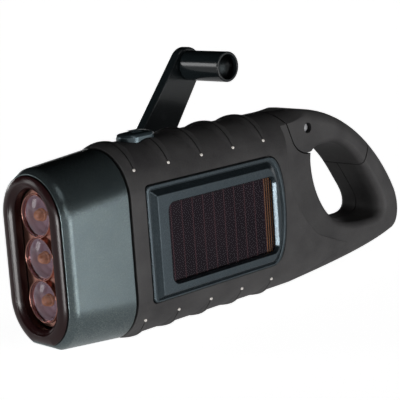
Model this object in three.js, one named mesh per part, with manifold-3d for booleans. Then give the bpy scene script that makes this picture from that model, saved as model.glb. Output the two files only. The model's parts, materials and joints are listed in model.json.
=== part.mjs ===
// Hand crank flashlight: three LEDs, a solar panel, a folding crank and a carabiner tail.
// Millimetres. X runs from the lamp head to the tail, Z is up and the solar panel faces -Y.
// X is measured from the head's front face, and the finished group is moved at the end so that
// its origin lies on the foot, straight under the crank's axis.
import * as THREE from "three";
import { mergeVertices } from "three/addons/utils/BufferGeometryUtils.js";
import Module from "manifold-3d";

const wasm = await Module();
wasm.setup();

// Clearances
const gap = 0.3;
const runningGap = 0.15;
const overrun = 1.5;

// Body section and shells
const bodyHeight = 55;
const bodyThickness = 28;
const footDepth = 1;
const wall = 1.8;
const partingY = 2;
const bodyStart = 25;

// Head
const headFrontRise = 2.6;
const headRearRise = 0.3;
const frontRounding = 4;
const bezelParting = 38;
const shroudParting = 45;
const seamGroove = 0.8;
const shroudWall = 1.6;
const collarWall = 1.5;
const ledBoardX = 12.6;
const ledBoardThickness = 1;

// Lamp
const lensPitch = 12.04;
const lensRadius = 5.85;
const lensRimX = 2.4;
const lensRimThickness = 0.8;
const lensCrown = 1.1;
const openingRadius = 7.7;
const openingChamfer = 1.3;
const bezelDepth = 3.6;
const reflectorDepth = 5.6;
const ledRadius = 2.5;
const ledHeight = 2;

// Solar panel
const panelStart = 30.7;
const panelLength = 56.4;
const panelBottom = 10.1;
const panelTop = 11.2;
const panelHeight = bodyHeight - panelBottom - panelTop;
const panelPocketDepth = 1.7;
const panelProud = 0.3;
const panelLip = 2;
const panelFlank = 2;
const panelSmallCorner = 1.4;
const panelLargeCorner = 4.7;
const panelBow = 2;
const panelLowShare = 0.55;
const windowStart = 38.3;
const windowEnd = 81.9;
const windowLow = 14.5;
const windowTop = 17.6;
const windowHigh = bodyHeight - windowTop;
const plateauHeight = 0.7;
const cellThickness = 0.5;
const cellCoverThickness = 0.5;
const cellOverlap = 1.4;
const pocketFloor = 1.5;

// Grip ribs along both narrow edges
const ribCount = 5;
const ribPitch = 13.1;
const firstRibX = 28.7;
const ribHeight = 0.9;
const ribLength = 10.5;
const ribReach = 13.7;
const pipRadius = 0.55;
const pipY = 12;

// Tail, its hole and its gate
const tailThickness = 19;
const tailRounding = 4;
const tailRootX = 70;
const tailCurveX = 88;
const tailLength = 62.5;
const holeInset = 0.9;
const holeRounding = 2.4;
const scoopX = 120;
const scoopZ = 40.5;
const scoopRadius = 30.5;
const scoopExitX = 126;
const scoopExitZ = 6;
const taperStart = 96;
const taperBottom = -1.5;
const hollowEnd = 108;
const scoopEnd = THREE.MathUtils.degToRad(239);
const gatePivotX = 104.2;
const gatePivotDrop = 6.2;
const gatePivotZ = bodyHeight - gatePivotDrop;
const knuckleRadius = 7.8;
const gateReach = 31;
const gateSeam = 0.4;
const gateLean = 11.7;
const gateKnuckleFrom = THREE.MathUtils.degToRad(200);
const gateKnuckleTo = THREE.MathUtils.degToRad(300);
const gateSwingReach = 10.4;
const gateSwingFrom = THREE.MathUtils.degToRad(276);
const gateSwingTo = THREE.MathUtils.degToRad(335);
const gateTipFrom = THREE.MathUtils.degToRad(-36);
const gateTipTo = THREE.MathUtils.degToRad(4);
const tongueRadius = 3.8;
const tongueNeckHalf = 3.2;
const tongueNeckAngle = THREE.MathUtils.degToRad(232);
const tongueThickness = 8;
const gatePinRadius = 1.5;
const gatePinRecess = 1.2;
const springThickness = 1.2;
const springWire = 1.1;

// Crank
const crankX = 63.7;
const crankZ = bodyHeight / 2;
const crankAngle = THREE.MathUtils.degToRad(52.5);
const crankRadius = 51.6;
const armInnerY = 33;
const armThickness = 3.5;
const armEndRadius = 6;
const armRootWidth = 15;
const shaftRadius = 3;
const hubRadius = 10;
const hubFlange = 3;
const hubNeckRadius = 8.2;
const hingePinRadius = 1.2;
const eyeRadius = 2.6;
const eyeWidth = 8;
const earRadius = 3.2;
const earWidth = 3;
const knobRadius = 4.9;
const knobLength = 18;
const knobRim = 0.9;
const knobCounterbore = 3;
const knobPinRadius = 1.5;
const rivetRadius = 3;
const rivetThickness = 0.9;

// Dome that carries the crank shaft
const domeRadius = 23.5;
const domeTopRadius = 20;
const domeTopY = 24;
const domeEdge = 1.2;
const domeWall = 1.8;
const domeBossRadius = 5.6;
const domeFlange = 2.9;

// Gear train and generator
const gearModule = 0.8;
const crankGearTeeth = 40;
const wheelTeeth = 24;
const pinionTeeth = 12;
const pressureAngle = THREE.MathUtils.degToRad(25);
const addendum = 0.64;
const dedendum = 0.84;
const toothThinning = 0.1;
const gearThickness = 2.2;
const pinionThickness = 3.2;
const firstIdlerAngle = THREE.MathUtils.degToRad(168);
const secondIdlerAngle = THREE.MathUtils.degToRad(-20);
const rotorAngle = THREE.MathUtils.degToRad(15);
const axleRadius = 1;
const plateY = -0.3;
const plateThickness = 1;
const plateMargin = 3.4;
const postRadius = 2;
const postReach = 23.2;
const postAngles = [120, -115, 11].map(THREE.MathUtils.degToRad);
const rotorRadius = 5.5;
const rotorLength = 7;
const statorRadius = 10;
const statorWall = 3.6;

// Electronics
const boardThickness = 1;
const boardLength = 30;
const boardMargin = 9.5;
const boardHeight = bodyHeight - 2 * boardMargin;
const cellCount = 3;
const buttonCellRadius = 7.6;
const buttonCellThickness = 2.6;
const buttonCellEdge = 0.4;
const batteryX = 40.5;
const batteryZ = 19.5;
const holderWall = 1.2;
const holderFloor = 0.8;

// Power button and its switch
const buttonX = 40.4;
const buttonLength = 12;
const buttonWidth = 8;
const buttonProud = 2.3;
const buttonCrown = 0.9;
const buttonTravel = 0.8;
const buttonFlange = 1;
const buttonStemRadius = 1.6;
const switchSize = 6;
const switchHeight = 2.6;
const switchPlungerRadius = 1.5;
const switchPlungerHeight = 0.7;
const switchDrop = 6.8;

// Screws
const screwRadius = 1.2;
const screwHeadRadius = 2.3;
const screwHeadHeight = 1.6;
const screwBossRadius = 3.2;
const screwGrip = 8;
const screwFloor = 3.4;
const tailScrewX = 144.3;
const tailScrewZ = 10.5;

// Facets
const arcSteps = 6;
const rimSteps = 2;
const wheelSteps = 44;
const roundSteps = 24;
const pinSteps = 10;
const cellSteps = 18;

// Sizes that follow from the ones above
const halfThickness = bodyThickness / 2;
const halfTail = tailThickness / 2;
const innerHalf = halfThickness - wall;
const tailTipX = tailCurveX + tailLength;
const panelFaceY = -halfThickness - panelProud;
const plateauY = panelFaceY - plateauHeight;
const pocketY = -halfThickness + panelPocketDepth;
const lampMiddleZ = bodyHeight / 2;
const armMiddleY = armInnerY + armThickness / 2;

const finishes = {
  rubberised: { color: 0x3e3c3c, roughness: 0.62, metalness: 0 },
  gunmetal: { color: 0x4b5a5e, roughness: 0.38, metalness: 0.6 },
  glossBlack: { color: 0x16191b, roughness: 0.18, metalness: 0 },
  bezel: { color: 0x1c1416, roughness: 0.2, metalness: 0 },
  reflector: { color: 0xc78f86, roughness: 0.15, metalness: 0.9 },
  clear: { color: 0xb9b2cc, roughness: 0.05, metalness: 0, transparent: true, opacity: 0.5 },
  amber: { color: 0xb0683c, roughness: 0.3, metalness: 0 },
  cell: { color: 0x2a1517, roughness: 0.2, metalness: 0 },
  circuit: { color: 0x1f5a3a, roughness: 0.5, metalness: 0 },
  steel: { color: 0xb8babd, roughness: 0.3, metalness: 1 },
  copper: { color: 0xb56b3a, roughness: 0.35, metalness: 1 },
  nylon: { color: 0xe6e2d6, roughness: 0.55, metalness: 0 },
  sealRubber: { color: 0x161616, roughness: 0.8, metalness: 0 },
};

const materials = Object.fromEntries(
  Object.entries(finishes).map(([name, look]) => [name, new THREE.MeshStandardMaterial({ ...look, name })]),
);

// A closed geometry as a solid for joining and cutting.
function solid(geometry) {
  const bare = geometry.index ? geometry.toNonIndexed() : geometry.clone();
  bare.deleteAttribute("normal");
  bare.deleteAttribute("uv");
  const merged = mergeVertices(bare, 1e-4);
  const vertProperties = merged.attributes.position.array;
  const corners = new Uint32Array(merged.index.array);
  const made = new wasm.Manifold(new wasm.Mesh({ numProp: 3, vertProperties, triVerts: corners }));
  if (made.volume() > 0) return made;
  const turnedRound = corners.reverse();
  return new wasm.Manifold(new wasm.Mesh({ numProp: 3, vertProperties, triVerts: turnedRound }));
}

// A solid as a named mesh of the scene graph.
function piece(name, shape, finish) {
  const made = shape.getMesh();
  const geometry = new THREE.BufferGeometry();
  geometry.setAttribute("position", new THREE.BufferAttribute(made.vertProperties, 3));
  geometry.setIndex(new THREE.BufferAttribute(made.triVerts, 1));
  geometry.computeVertexNormals();
  const mesh = new THREE.Mesh(geometry, materials[finish]);
  mesh.name = name;
  return mesh;
}

function unite(shapes) {
  return shapes.reduce((whole, shape) => whole.add(shape));
}

function cutAll(shape, cutters) {
  return cutters.reduce((left, cutter) => left.subtract(cutter), shape);
}

// A box between two corners.
function block(low, high) {
  const size = high.map((value, axis) => value - low[axis]);
  const geometry = new THREE.BoxGeometry(...size);
  geometry.translate(...low.map((value, axis) => value + size[axis] / 2));
  return solid(geometry);
}

// A turned solid about the Y axis through (x, z); the profile is a list of [radius, y].
function turned(profile, x, z, steps = roundSteps) {
  const points = profile.map(([radius, y]) => new THREE.Vector2(radius, y));
  const geometry = new THREE.LatheGeometry(points, steps);
  geometry.translate(x, 0, z);
  return solid(geometry);
}

// A plain round bar along Y.
function bar(radius, lowY, highY, x, z, steps = pinSteps) {
  return turned([[0, lowY], [radius, lowY], [radius, highY], [0, highY]], x, z, steps);
}

// A shape drawn in X and Z, or points of one, made solid between two places along Y.
function slab(outline, lowY, highY, holes = []) {
  const shape = new THREE.Shape(outline);
  shape.holes = holes.map((hole) => new THREE.Path(hole));
  const geometry = new THREE.ExtrudeGeometry(shape, { depth: highY - lowY, bevelEnabled: false });
  geometry.rotateX(Math.PI / 2);
  geometry.translate(0, highY, 0);
  return solid(geometry);
}

// Points of an arc, both ends included.
function arc(x, z, radius, from, to, steps = arcSteps) {
  return Array.from({ length: steps + 1 }, (_, i) => {
    const angle = from + ((to - from) * i) / steps;
    return new THREE.Vector2(x + radius * Math.cos(angle), z + radius * Math.sin(angle));
  });
}

function circle(x, z, radius, steps = roundSteps) {
  return arc(x, z, radius, 0, 2 * Math.PI, steps).slice(0, -1);
}

// Points of a chain of cubic curves: the first point, then three points for each curve.
function curveChain(points, steps) {
  const out = [points[0]];
  for (let i = 0; i + 3 < points.length; i += 3) {
    const curve = new THREE.CubicBezierCurve(points[i], points[i + 1], points[i + 2], points[i + 3]);
    out.push(...curve.getPoints(steps).slice(1));
  }
  return out;
}

// An outline moved inwards, corner by corner; it runs anticlockwise.
function inwards(outline, distance) {
  const count = outline.length;
  return outline.map((point, i) => {
    const before = outline[(i + count - 1) % count];
    const after = outline[(i + 1) % count];
    const first = new THREE.Vector2(before.y - point.y, point.x - before.x).normalize();
    const second = new THREE.Vector2(point.y - after.y, after.x - point.x).normalize();
    const middle = first.clone().add(second).normalize();
    return point.clone().addScaledVector(middle, distance / middle.dot(first));
  });
}

// Triangles that close a ring, all wound the way the ring runs; flat gives the ring's drawing.
function cap(ring, flat) {
  const drawn = ring.map(flat);
  const sense = Math.sign(THREE.ShapeUtils.area(drawn));
  return THREE.ShapeUtils.triangulateShape(drawn, []).map(([a, b, c]) => {
    const same = Math.sign(THREE.ShapeUtils.area([drawn[a], drawn[b], drawn[c]])) === sense;
    return same ? [a, b, c] : [a, c, b];
  });
}

// A closed skin over rings of points that all hold the same number.
function skin(rings, flat) {
  const count = rings[0].length;
  const positions = rings.flat().flatMap((p) => [p.x, p.y, p.z]);
  const faces = [];
  for (let r = 0; r + 1 < rings.length; r += 1) {
    for (let i = 0; i < count; i += 1) {
      const a = r * count + i;
      const b = r * count + ((i + 1) % count);
      faces.push(a, b, b + count, a, b + count, a + count);
    }
  }
  const last = (rings.length - 1) * count;
  for (const [a, b, c] of cap(rings[0], flat)) {
    faces.push(a, c, b);
  }
  for (const [a, b, c] of cap(rings.at(-1), flat)) {
    faces.push(last + a, last + b, last + c);
  }
  const geometry = new THREE.BufferGeometry();
  geometry.setAttribute("position", new THREE.Float32BufferAttribute(positions, 3));
  geometry.setIndex(faces);
  return solid(geometry);
}

// A plate across Y whose outline draws in level by level; levels are [y, inset] from high to low.
function pillow(outline, levels) {
  const rings = levels.map(([y, inset]) =>
    inwards(outline, inset).map((p) => new THREE.Vector3(p.x, y, p.y)),
  );
  return skin(rings, (p) => new THREE.Vector2(p.x, p.z));
}

// Levels of a plate with rounded rims, from +half to -half.
function roundedLevels(half, rounding, offset = 0, steps = rimSteps) {
  const side = Array.from({ length: steps + 1 }, (_, i) => {
    const angle = ((Math.PI / 2) * i) / steps;
    return [half - rounding + rounding * Math.cos(angle), offset + rounding * (1 - Math.sin(angle))];
  });
  return [...side, ...side.map(([y, inset]) => [-y, inset]).reverse()];
}

// Cross-section in Y and Z: a tall slot whose lower end is cut flat, drawn in by an inset.
function section(bottom, top, inset = 0) {
  const radius = halfThickness - inset;
  const lowerZ = bottom - footDepth + halfThickness;
  const upperZ = top - halfThickness;
  const footAngle = Math.acos((radius - footDepth) / radius);
  const quarter = Math.PI / 2;
  return [
    ...arc(0, lowerZ, radius, footAngle - quarter, 0),
    ...arc(0, upperZ, radius, 0, Math.PI, 2 * arcSteps),
    ...arc(0, lowerZ, radius, Math.PI, 3 * quarter - footAngle),
  ];
}

// A solid lofted along X through sections given as [x, bottom, top, inset].
function loft(stations) {
  const rings = stations.map(([x, bottom, top, inset]) =>
    section(bottom, top, inset).map((p) => new THREE.Vector3(x, p.x, p.y)),
  );
  return skin(rings, (p) => new THREE.Vector2(p.y, p.z));
}

function bodyBar(fromX, toX, inset) {
  return loft([
    [fromX, 0, bodyHeight, inset],
    [toX, 0, bodyHeight, inset],
  ]);
}

// The thick part of the body; it thins out to the tail's thickness along its lower edge.
function thickBody(fromX, inset) {
  return loft([
    [fromX, 0, bodyHeight, inset],
    [taperStart, 0, bodyHeight, inset],
    [scoopExitX, taperBottom, bodyHeight, inset + halfThickness - halfTail],
  ]);
}

// The head narrows a little towards the front.
function headRise(x) {
  return THREE.MathUtils.lerp(headFrontRise, headRearRise, x / bodyStart);
}

function headStation(x, inset) {
  return [x, headRise(x), bodyHeight - headRise(x), inset];
}

// Tail outline in shares of the tail's length and the body's height, as cubic curves.
const tailShares = [
  [0, 0], [0.32, 0.029], [0.704, 0.055], [0.928, 0.133],
  [0.986, 0.153], [1.021, 0.264], [0.968, 0.4],
  [0.864, 0.636], [0.592, 1.009], [0.128, 1],
];

function tailOutline() {
  const points = tailShares.map(
    ([x, z]) => new THREE.Vector2(tailCurveX + x * tailLength, z * bodyHeight),
  );
  const root = [new THREE.Vector2(tailRootX, bodyHeight), new THREE.Vector2(tailRootX, 0)];
  return [...curveChain(points, arcSteps), ...root];
}

// Outline of the tail's hole, in the same shares.
const holeShares = [
  [0.275, 0.691], [0.275, 0.564], [0.32, 0.427], [0.4, 0.336],
  [0.464, 0.253], [0.592, 0.233], [0.736, 0.233],
  [0.856, 0.233], [0.869, 0.315], [0.797, 0.431],
  [0.725, 0.547], [0.616, 0.773], [0.429, 0.782],
  [0.336, 0.787], [0.275, 0.773], [0.275, 0.691],
];

function holeOutline() {
  const points = holeShares.map(
    ([x, z]) => new THREE.Vector2(tailCurveX + x * tailLength, z * bodyHeight),
  );
  return curveChain(points, arcSteps - 2).slice(0, -1);
}

// The tail plate with the carabiner hole through it, rounded on every rim.
function tailPlate() {
  const plate = pillow(tailOutline(), roundedLevels(halfTail, tailRounding));
  const flare = roundedLevels(halfTail, holeRounding).map(([y, inset]) => [y, holeInset - inset]);
  const [outerY, outerInset] = flare[0];
  const past = [outerY + overrun, outerInset];
  const levels = [past, ...flare, [-past[0], past[1]]];
  return plate.subtract(pillow(holeOutline(), levels));
}

// Everything behind the scooped end of the thick body, as a cutter; grow moves it forwards.
function behindScoop(grow = 0) {
  const radius = scoopRadius + grow;
  const top = bodyHeight + overrun + grow;
  const upper = Math.PI - Math.asin((top - scoopZ) / radius);
  const rim = arc(scoopX, scoopZ, radius, upper, scoopEnd, 2 * arcSteps);
  const end = tailTipX + overrun;
  const exitZ = scoopExitZ - grow;
  const exit = [new THREE.Vector2(scoopExitX, exitZ), new THREE.Vector2(end, exitZ)];
  const outline = [...rim, ...exit, new THREE.Vector2(end, top)];
  return slab(outline, -bodyThickness, bodyThickness);
}

// Grip ribs: long low swellings that run over both narrow edges.
function ribs() {
  const made = [];
  for (let i = 0; i < ribCount; i += 1) {
    const x = firstRibX + i * ribPitch;
    for (const [z, foot] of [[bodyHeight - halfThickness, 0], [halfThickness - footDepth, footDepth]]) {
      const ball = new THREE.SphereGeometry(1, roundSteps, pinSteps);
      ball.scale(ribLength, ribReach, halfThickness + ribHeight);
      ball.translate(x, 0, z);
      const rib = solid(ball);
      made.push(foot ? rib.subtract(underFoot()) : rib);
    }
  }
  return made;
}

function underFoot() {
  return block([-overrun, -bodyThickness, -bodyThickness], [tailTipX, bodyThickness, 0]);
}

// Pips at the tip of each rib on the solar side.
function pips() {
  const drop = Math.sqrt(halfThickness ** 2 - pipY ** 2);
  const made = [];
  for (let i = 0; i < ribCount; i += 1) {
    const x = firstRibX + i * ribPitch;
    for (const z of [bodyHeight - halfThickness + drop, halfThickness - footDepth - drop]) {
      const ball = new THREE.SphereGeometry(pipRadius, arcSteps + 2, arcSteps - 2);
      ball.translate(x, -pipY, z);
      made.push(solid(ball));
    }
  }
  return made;
}

// The region that the gate takes out of the tail plate; seam widens it.
function gateZone(seam) {
  const knuckle = knuckleRadius + seam;
  const reach = gateReach + seam;
  const above = bodyHeight + overrun;
  const outline = [
    new THREE.Vector2(gatePivotX - gateLean - seam, above),
    ...arc(gatePivotX, gatePivotZ, knuckle, gateKnuckleFrom, gateKnuckleTo),
    ...arc(gatePivotX, gatePivotZ, reach, gateTipFrom, gateTipTo),
    new THREE.Vector2(gatePivotX + reach, above),
  ];
  return slab(outline, -tailThickness, tailThickness);
}

// Room under the pivot for the gate's lower edge as it swings into the hole.
function gateRoom() {
  const pivot = new THREE.Vector2(gatePivotX, gatePivotZ);
  const sweep = arc(gatePivotX, gatePivotZ, gateSwingReach, gateSwingFrom, gateSwingTo);
  return slab([pivot, ...sweep], -tailThickness, tailThickness);
}

// The tongue of the shells that stands between the gate's two cheeks.
function gateTongue(half, grow) {
  const radius = tongueRadius + grow;
  const neck = new THREE.Vector2(Math.cos(tongueNeckAngle), Math.sin(tongueNeckAngle));
  const side = new THREE.Vector2(-neck.y, neck.x).multiplyScalar(tongueNeckHalf + grow);
  const root = new THREE.Vector2(gatePivotX, gatePivotZ).addScaledVector(neck, knuckleRadius + overrun);
  const pivot = new THREE.Vector2(gatePivotX, gatePivotZ);
  const outline = [
    pivot.clone().sub(side),
    root.clone().sub(side),
    root.clone().add(side),
    pivot.clone().add(side),
  ].reverse();
  const stem = slab(outline, -half, half);
  return stem.add(bar(radius, -half, half, gatePivotX, gatePivotZ, roundSteps));
}

// Outline of the solar frame; grow widens it all round, and a negative one draws in its lower edge
// less than the others. Its tail side is bowed.
function panelOutline(grow) {
  const left = panelStart - grow;
  const right = panelStart + panelLength + grow;
  const low = panelBottom - (grow < 0 ? grow * panelLowShare : grow);
  const high = panelBottom + panelHeight + grow;
  const large = panelLargeCorner + grow / 2;
  const small = Math.max(gap, panelSmallCorner + grow / 2);
  const middle = (low + high) / 2;
  const quarter = Math.PI / 2;
  const side = curveChain([
    new THREE.Vector2(right - large - panelBow, low),
    new THREE.Vector2(right - panelBow, low),
    new THREE.Vector2(right, middle - 2 * large),
    new THREE.Vector2(right, middle),
    new THREE.Vector2(right, middle + 2 * large),
    new THREE.Vector2(right - panelBow, high),
    new THREE.Vector2(right - large - panelBow, high),
  ], arcSteps - 2);
  return [
    ...side,
    ...arc(left + small, high - small, small, quarter, 2 * quarter, 2),
    ...arc(left + small, low + small, small, 2 * quarter, 3 * quarter, 2),
  ];
}

// The solar frame's outline as a ring at one place along Y, drawn in by an inset.
function panelRing([y, inset]) {
  return panelOutline(-inset).map((p) => new THREE.Vector3(p.x, y, p.y));
}

// Outline of the window over the cell, with round corners; grow widens it.
function windowOutline(grow) {
  const radius = panelLip + grow;
  const left = windowStart - grow;
  const right = windowEnd + grow;
  const low = windowLow - grow;
  const high = windowHigh + grow;
  const quarter = Math.PI / 2;
  return [
    ...arc(left + radius, low + radius, radius, -2 * quarter, -quarter, 3),
    ...arc(right - radius, low + radius, radius, -quarter, 0, 3),
    ...arc(right - radius, high - radius, radius, 0, quarter, 3),
    ...arc(left + radius, high - radius, radius, quarter, 2 * quarter, 3),
  ];
}

function solarFrame() {
  const backY = pocketY - gap;
  const levels = [
    [backY, 0],
    [panelFaceY, 0],
    [panelFaceY, panelLip],
    [plateauY, panelLip + panelFlank],
  ];
  const body = skin(levels.map(panelRing), (p) => new THREE.Vector2(p.x, p.z));
  const window = slab(windowOutline(0), plateauY - overrun, backY + overrun);
  const rebateY = backY - cellThickness - gap;
  const rebate = slab(windowOutline(cellOverlap + gap), rebateY, backY + overrun);
  return [piece("solar_frame", cutAll(body, [window, rebate]), "gunmetal")];
}

function solarCell() {
  const backY = pocketY - gap;
  const cellY = backY - cellThickness;
  const cell = slab(windowOutline(cellOverlap), cellY, backY);
  const cover = slab(windowOutline(-gap), cellY - gap - cellCoverThickness, cellY - gap);
  return [piece("solar_cell", cell, "cell"), piece("cell_cover", cover, "clear")];
}

// Places of the housing screws, with the height of the skin over each head.
function screwPlaces() {
  const edge = screwBossRadius + wall;
  const low = panelBottom + screwBossRadius;
  const high = bodyHeight - low;
  const rear = scoopX - scoopRadius - edge;
  return [
    { x: bodyStart + edge, z: high + wall, face: innerHalf },
    { x: bodyStart + edge, z: low - wall, face: innerHalf },
    { x: rear + wall, z: high + wall, face: innerHalf },
    { x: rear + edge, z: low - wall, face: innerHalf },
    { x: tailScrewX, z: tailScrewZ, face: halfTail - screwFloor / 2 },
  ];
}

function screwHeadY(place) {
  return place.face - screwFloor / 2;
}

function screws() {
  return screwPlaces().map((place, i) => {
    const top = screwHeadY(place);
    const seat = top - screwHeadHeight;
    const tip = partingY - screwGrip;
    const profile = [[0, tip], [screwRadius, tip], [screwRadius, seat], [screwHeadRadius, seat],
      [screwHeadRadius, top], [0, top]];
    return piece(`housing_screw_${i + 1}`, turned(profile, place.x, place.z, pinSteps), "steel");
  });
}

// Holes for the screws: a clearance bore with a sunk seat for each head.
function screwBores() {
  return screwPlaces().map((place) => {
    const top = screwHeadY(place);
    const seat = top - screwHeadHeight - gap;
    const tip = partingY - screwGrip - gap;
    const bore = screwRadius + gap;
    const sink = screwHeadRadius + gap;
    const past = halfThickness + overrun;
    const profile = [[0, tip], [bore, tip], [bore, seat], [sink, seat], [sink, past], [0, past]];
    return turned(profile, place.x, place.z, pinSteps);
  });
}

// The hollow inside the thick body, with bosses for the screws left standing.
function bodyHollow() {
  const end = block([hollowEnd, -bodyThickness, -overrun], [tailTipX, bodyThickness, 2 * bodyHeight]);
  const hollow = cutAll(thickBody(bodyStart - overrun, wall), [behindScoop(wall), end]);
  const bosses = screwPlaces().slice(0, -1).map((place) =>
    bar(screwBossRadius, -bodyThickness, bodyThickness, place.x, place.z, roundSteps),
  );
  const pad = slab(panelOutline(gap + wall), -bodyThickness, pocketY + pocketFloor);
  return cutAll(hollow, [...bosses, pad, switchShelf()]);
}

// A ledge of the solar side shell that carries the power switch's board.
function switchShelf() {
  const top = switchBoardZ() - gap;
  const halfLength = switchSize + gap;
  const low = [buttonX - halfLength, -bodyThickness, top - wall];
  const high = [buttonX + halfLength, switchSize / 2 - wall, top];
  return block(low, high);
}

function switchBoardZ() {
  return bodyHeight - switchDrop - switchHeight - boardThickness - gap;
}

// Outline of the power button in X and Y.
function buttonOutline(grow) {
  const radius = buttonWidth / 2 + grow;
  const reach = (buttonLength - buttonWidth) / 2;
  const quarter = Math.PI / 2;
  return [
    ...arc(buttonX + reach, 0, radius, -quarter, quarter, arcSteps),
    ...arc(buttonX - reach, 0, radius, quarter, 3 * quarter, arcSteps),
  ];
}

// A plate across Z, its outline drawn in level by level from low to high.
function cushion(outline, levels) {
  const rings = levels.map(([z, inset]) =>
    inwards(outline, inset).map((p) => new THREE.Vector3(p.x, p.y, z)),
  );
  return skin(rings, (p) => new THREE.Vector2(p.x, p.y));
}

// Collar that the head slides on to, in front of the body.
function collar() {
  const inset = shroudWall + gap;
  const start = ledBoardX + ledBoardThickness + gap;
  const outer = loft([headStation(start, inset), headStation(bodyStart + overrun, inset)]);
  const flange = bodyBar(bodyStart, bodyStart + overrun, wall / 2);
  const hollowStart = headStation(start - overrun, inset + collarWall);
  const hollow = loft([hollowStart, headStation(bodyStart + 2 * overrun, inset + collarWall)]);
  return outer.add(flange).subtract(hollow);
}

// The whole housing in one piece, before it is split into its two shells.
function housing() {
  const plinth = bar(domeRadius, partingY + overrun, halfThickness, crankX, crankZ, wheelSteps);
  const round = unite([thickBody(bodyStart, 0), plinth, ...ribs(), ...pips()]);
  const thick = round.subtract(behindScoop());
  const trimmed = thick.subtract(block(
    [-overrun, -bodyThickness, -overrun],
    [bodyStart, bodyThickness, bodyHeight + 2 * overrun],
  ));
  const button = cushion(buttonOutline(gap), [
    [bodyHeight - 2 * wall, 0],
    [bodyHeight + 2 * overrun, 0],
  ]);
  const zone = gateZone(gateSeam);
  const tail = cutAll(tailPlate(), [zone, gateRoom()]);
  const pocket = slab(panelOutline(gap), -bodyThickness, pocketY);
  const opening = domeRadius - domeFlange + gap;
  const spigot = bar(opening, partingY + overrun, bodyThickness, crankX, crankZ, wheelSteps);
  const aboveDome = bar(domeRadius + gap, halfThickness, bodyThickness, crankX, crankZ, wheelSteps);
  const shelled = cutAll(thickWithTail(trimmed, tail), [bodyHollow(), pocket, spigot, aboveDome]);
  const tongue = gateTongue(tongueThickness / 2, 0);
  const pinBore = bar(gatePinRadius + runningGap, -halfTail, halfTail, gatePivotX, gatePivotZ);
  return cutAll(unite([shelled, collar(), tongue]), [pinBore, button, ...screwBores()]);
}

function thickWithTail(thick, tail) {
  return thick.subtract(gateZone(gateSeam)).add(tail);
}

function shells() {
  const whole = housing();
  const far = tailTipX + overrun;
  const solarSide = block([-overrun, -bodyThickness, -overrun], [far, partingY - gap / 2, bodyHeight * 2]);
  const crankSide = block([-overrun, partingY + gap / 2, -overrun], [far, bodyThickness, bodyHeight * 2]);
  return [
    piece("solar_side_shell", whole.intersect(solarSide), "rubberised"),
    piece("crank_side_shell", whole.intersect(crankSide), "rubberised"),
  ];
}

// Gate: the part of the tail plate over the hole, forked round the tongue at its pivot.
function gate() {
  const shape = tailPlate().intersect(gateZone(0));
  const slotHalf = tongueThickness / 2 + springThickness + gap;
  const slot = bar(tongueRadius + gap, -slotHalf, slotHalf, gatePivotX, gatePivotZ, roundSteps);
  const mouth = slab([
    new THREE.Vector2(gatePivotX - bodyHeight, gatePivotZ),
    new THREE.Vector2(gatePivotX - tongueRadius, gatePivotZ - bodyHeight),
    new THREE.Vector2(gatePivotX + tongueRadius + gap, gatePivotZ - bodyHeight),
    new THREE.Vector2(gatePivotX + tongueRadius + gap, gatePivotZ),
  ], -slotHalf, slotHalf);
  const bore = bar(gatePinRadius + runningGap, -tailThickness, tailThickness, gatePivotX, gatePivotZ);
  const pinHalf = halfTail - gatePinRecess;
  const springLow = tongueThickness / 2 + gap / 2;
  const ring = [[gatePinRadius + gap, springLow], [gatePinRadius + gap + springWire, springLow],
    [gatePinRadius + gap + springWire, springLow + springThickness - gap / 2],
    [gatePinRadius + gap, springLow + springThickness - gap / 2], [gatePinRadius + gap, springLow]];
  return {
    gate: piece("gate", cutAll(shape, [slot, mouth, bore]), "rubberised"),
    fixed: [
      piece("gate_pin", bar(gatePinRadius, -pinHalf, pinHalf, gatePivotX, gatePivotZ), "steel"),
      piece("gate_spring", turned(ring, gatePivotX, gatePivotZ, pinSteps), "steel"),
    ],
  };
}

// Rounded front of the bezel and shroud as [x, inset] from the parting of the two.
function frontRound(from, to, steps) {
  return Array.from({ length: steps + 1 }, (_, i) => {
    const angle = THREE.MathUtils.degToRad(from + ((to - from) * i) / steps);
    return [frontRounding * (1 - Math.cos(angle)), frontRounding * (1 - Math.sin(angle))];
  });
}

function shroud() {
  const round = frontRound(shroudParting, 90, rimSteps + 1);
  const rear = bodyStart - seamGroove;
  const outer = loft([...round.map(([x, inset]) => headStation(x, inset)), headStation(rear, 0)]);
  const bore = loft([headStation(-overrun, shroudWall), headStation(bodyStart, shroudWall)]);
  const gasketInset = shroudWall / 2;
  const ring = loft([headStation(rear + gap, gasketInset), headStation(bodyStart - gap, gasketInset)]);
  const ringBore = loft([
    headStation(rear - overrun, shroudWall + gap + gap),
    headStation(bodyStart + overrun, shroudWall + gap + gap),
  ]);
  const hold = loft([
    headStation(rear - overrun, shroudWall + gap),
    headStation(bodyStart + overrun, shroudWall + gap),
  ]);
  return [
    piece("head_shroud", outer.subtract(bore), "gunmetal"),
    piece("head_gasket", ring.subtract(ringBore.add(hold)), "sealRubber"),
  ];
}

// A tall slot outline in Y and Z round the three lenses.
function slotOutline(radius) {
  const quarter = Math.PI / 2;
  return [
    ...arc(0, lampMiddleZ - lensPitch, radius, -2 * quarter, 0, 2 * arcSteps),
    ...arc(0, lampMiddleZ + lensPitch, radius, 0, 2 * quarter, 2 * arcSteps),
  ];
}

// A solid along X through slot outlines given as [x, radius].
function slotLoft(stations) {
  const rings = stations.map(([x, radius]) =>
    slotOutline(radius).map((p) => new THREE.Vector3(x, p.x, p.y)),
  );
  return skin(rings, (p) => new THREE.Vector2(p.y, p.z));
}

// A turned solid about an axis along X through the middle of one lamp; profile is [radius, x].
function lampTurned(profile, z) {
  const points = profile.map(([radius, x]) => new THREE.Vector2(radius, x));
  const geometry = new THREE.LatheGeometry(points, cellSteps);
  geometry.rotateZ(-Math.PI / 2);
  geometry.translate(0, 0, z);
  return solid(geometry);
}

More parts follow.
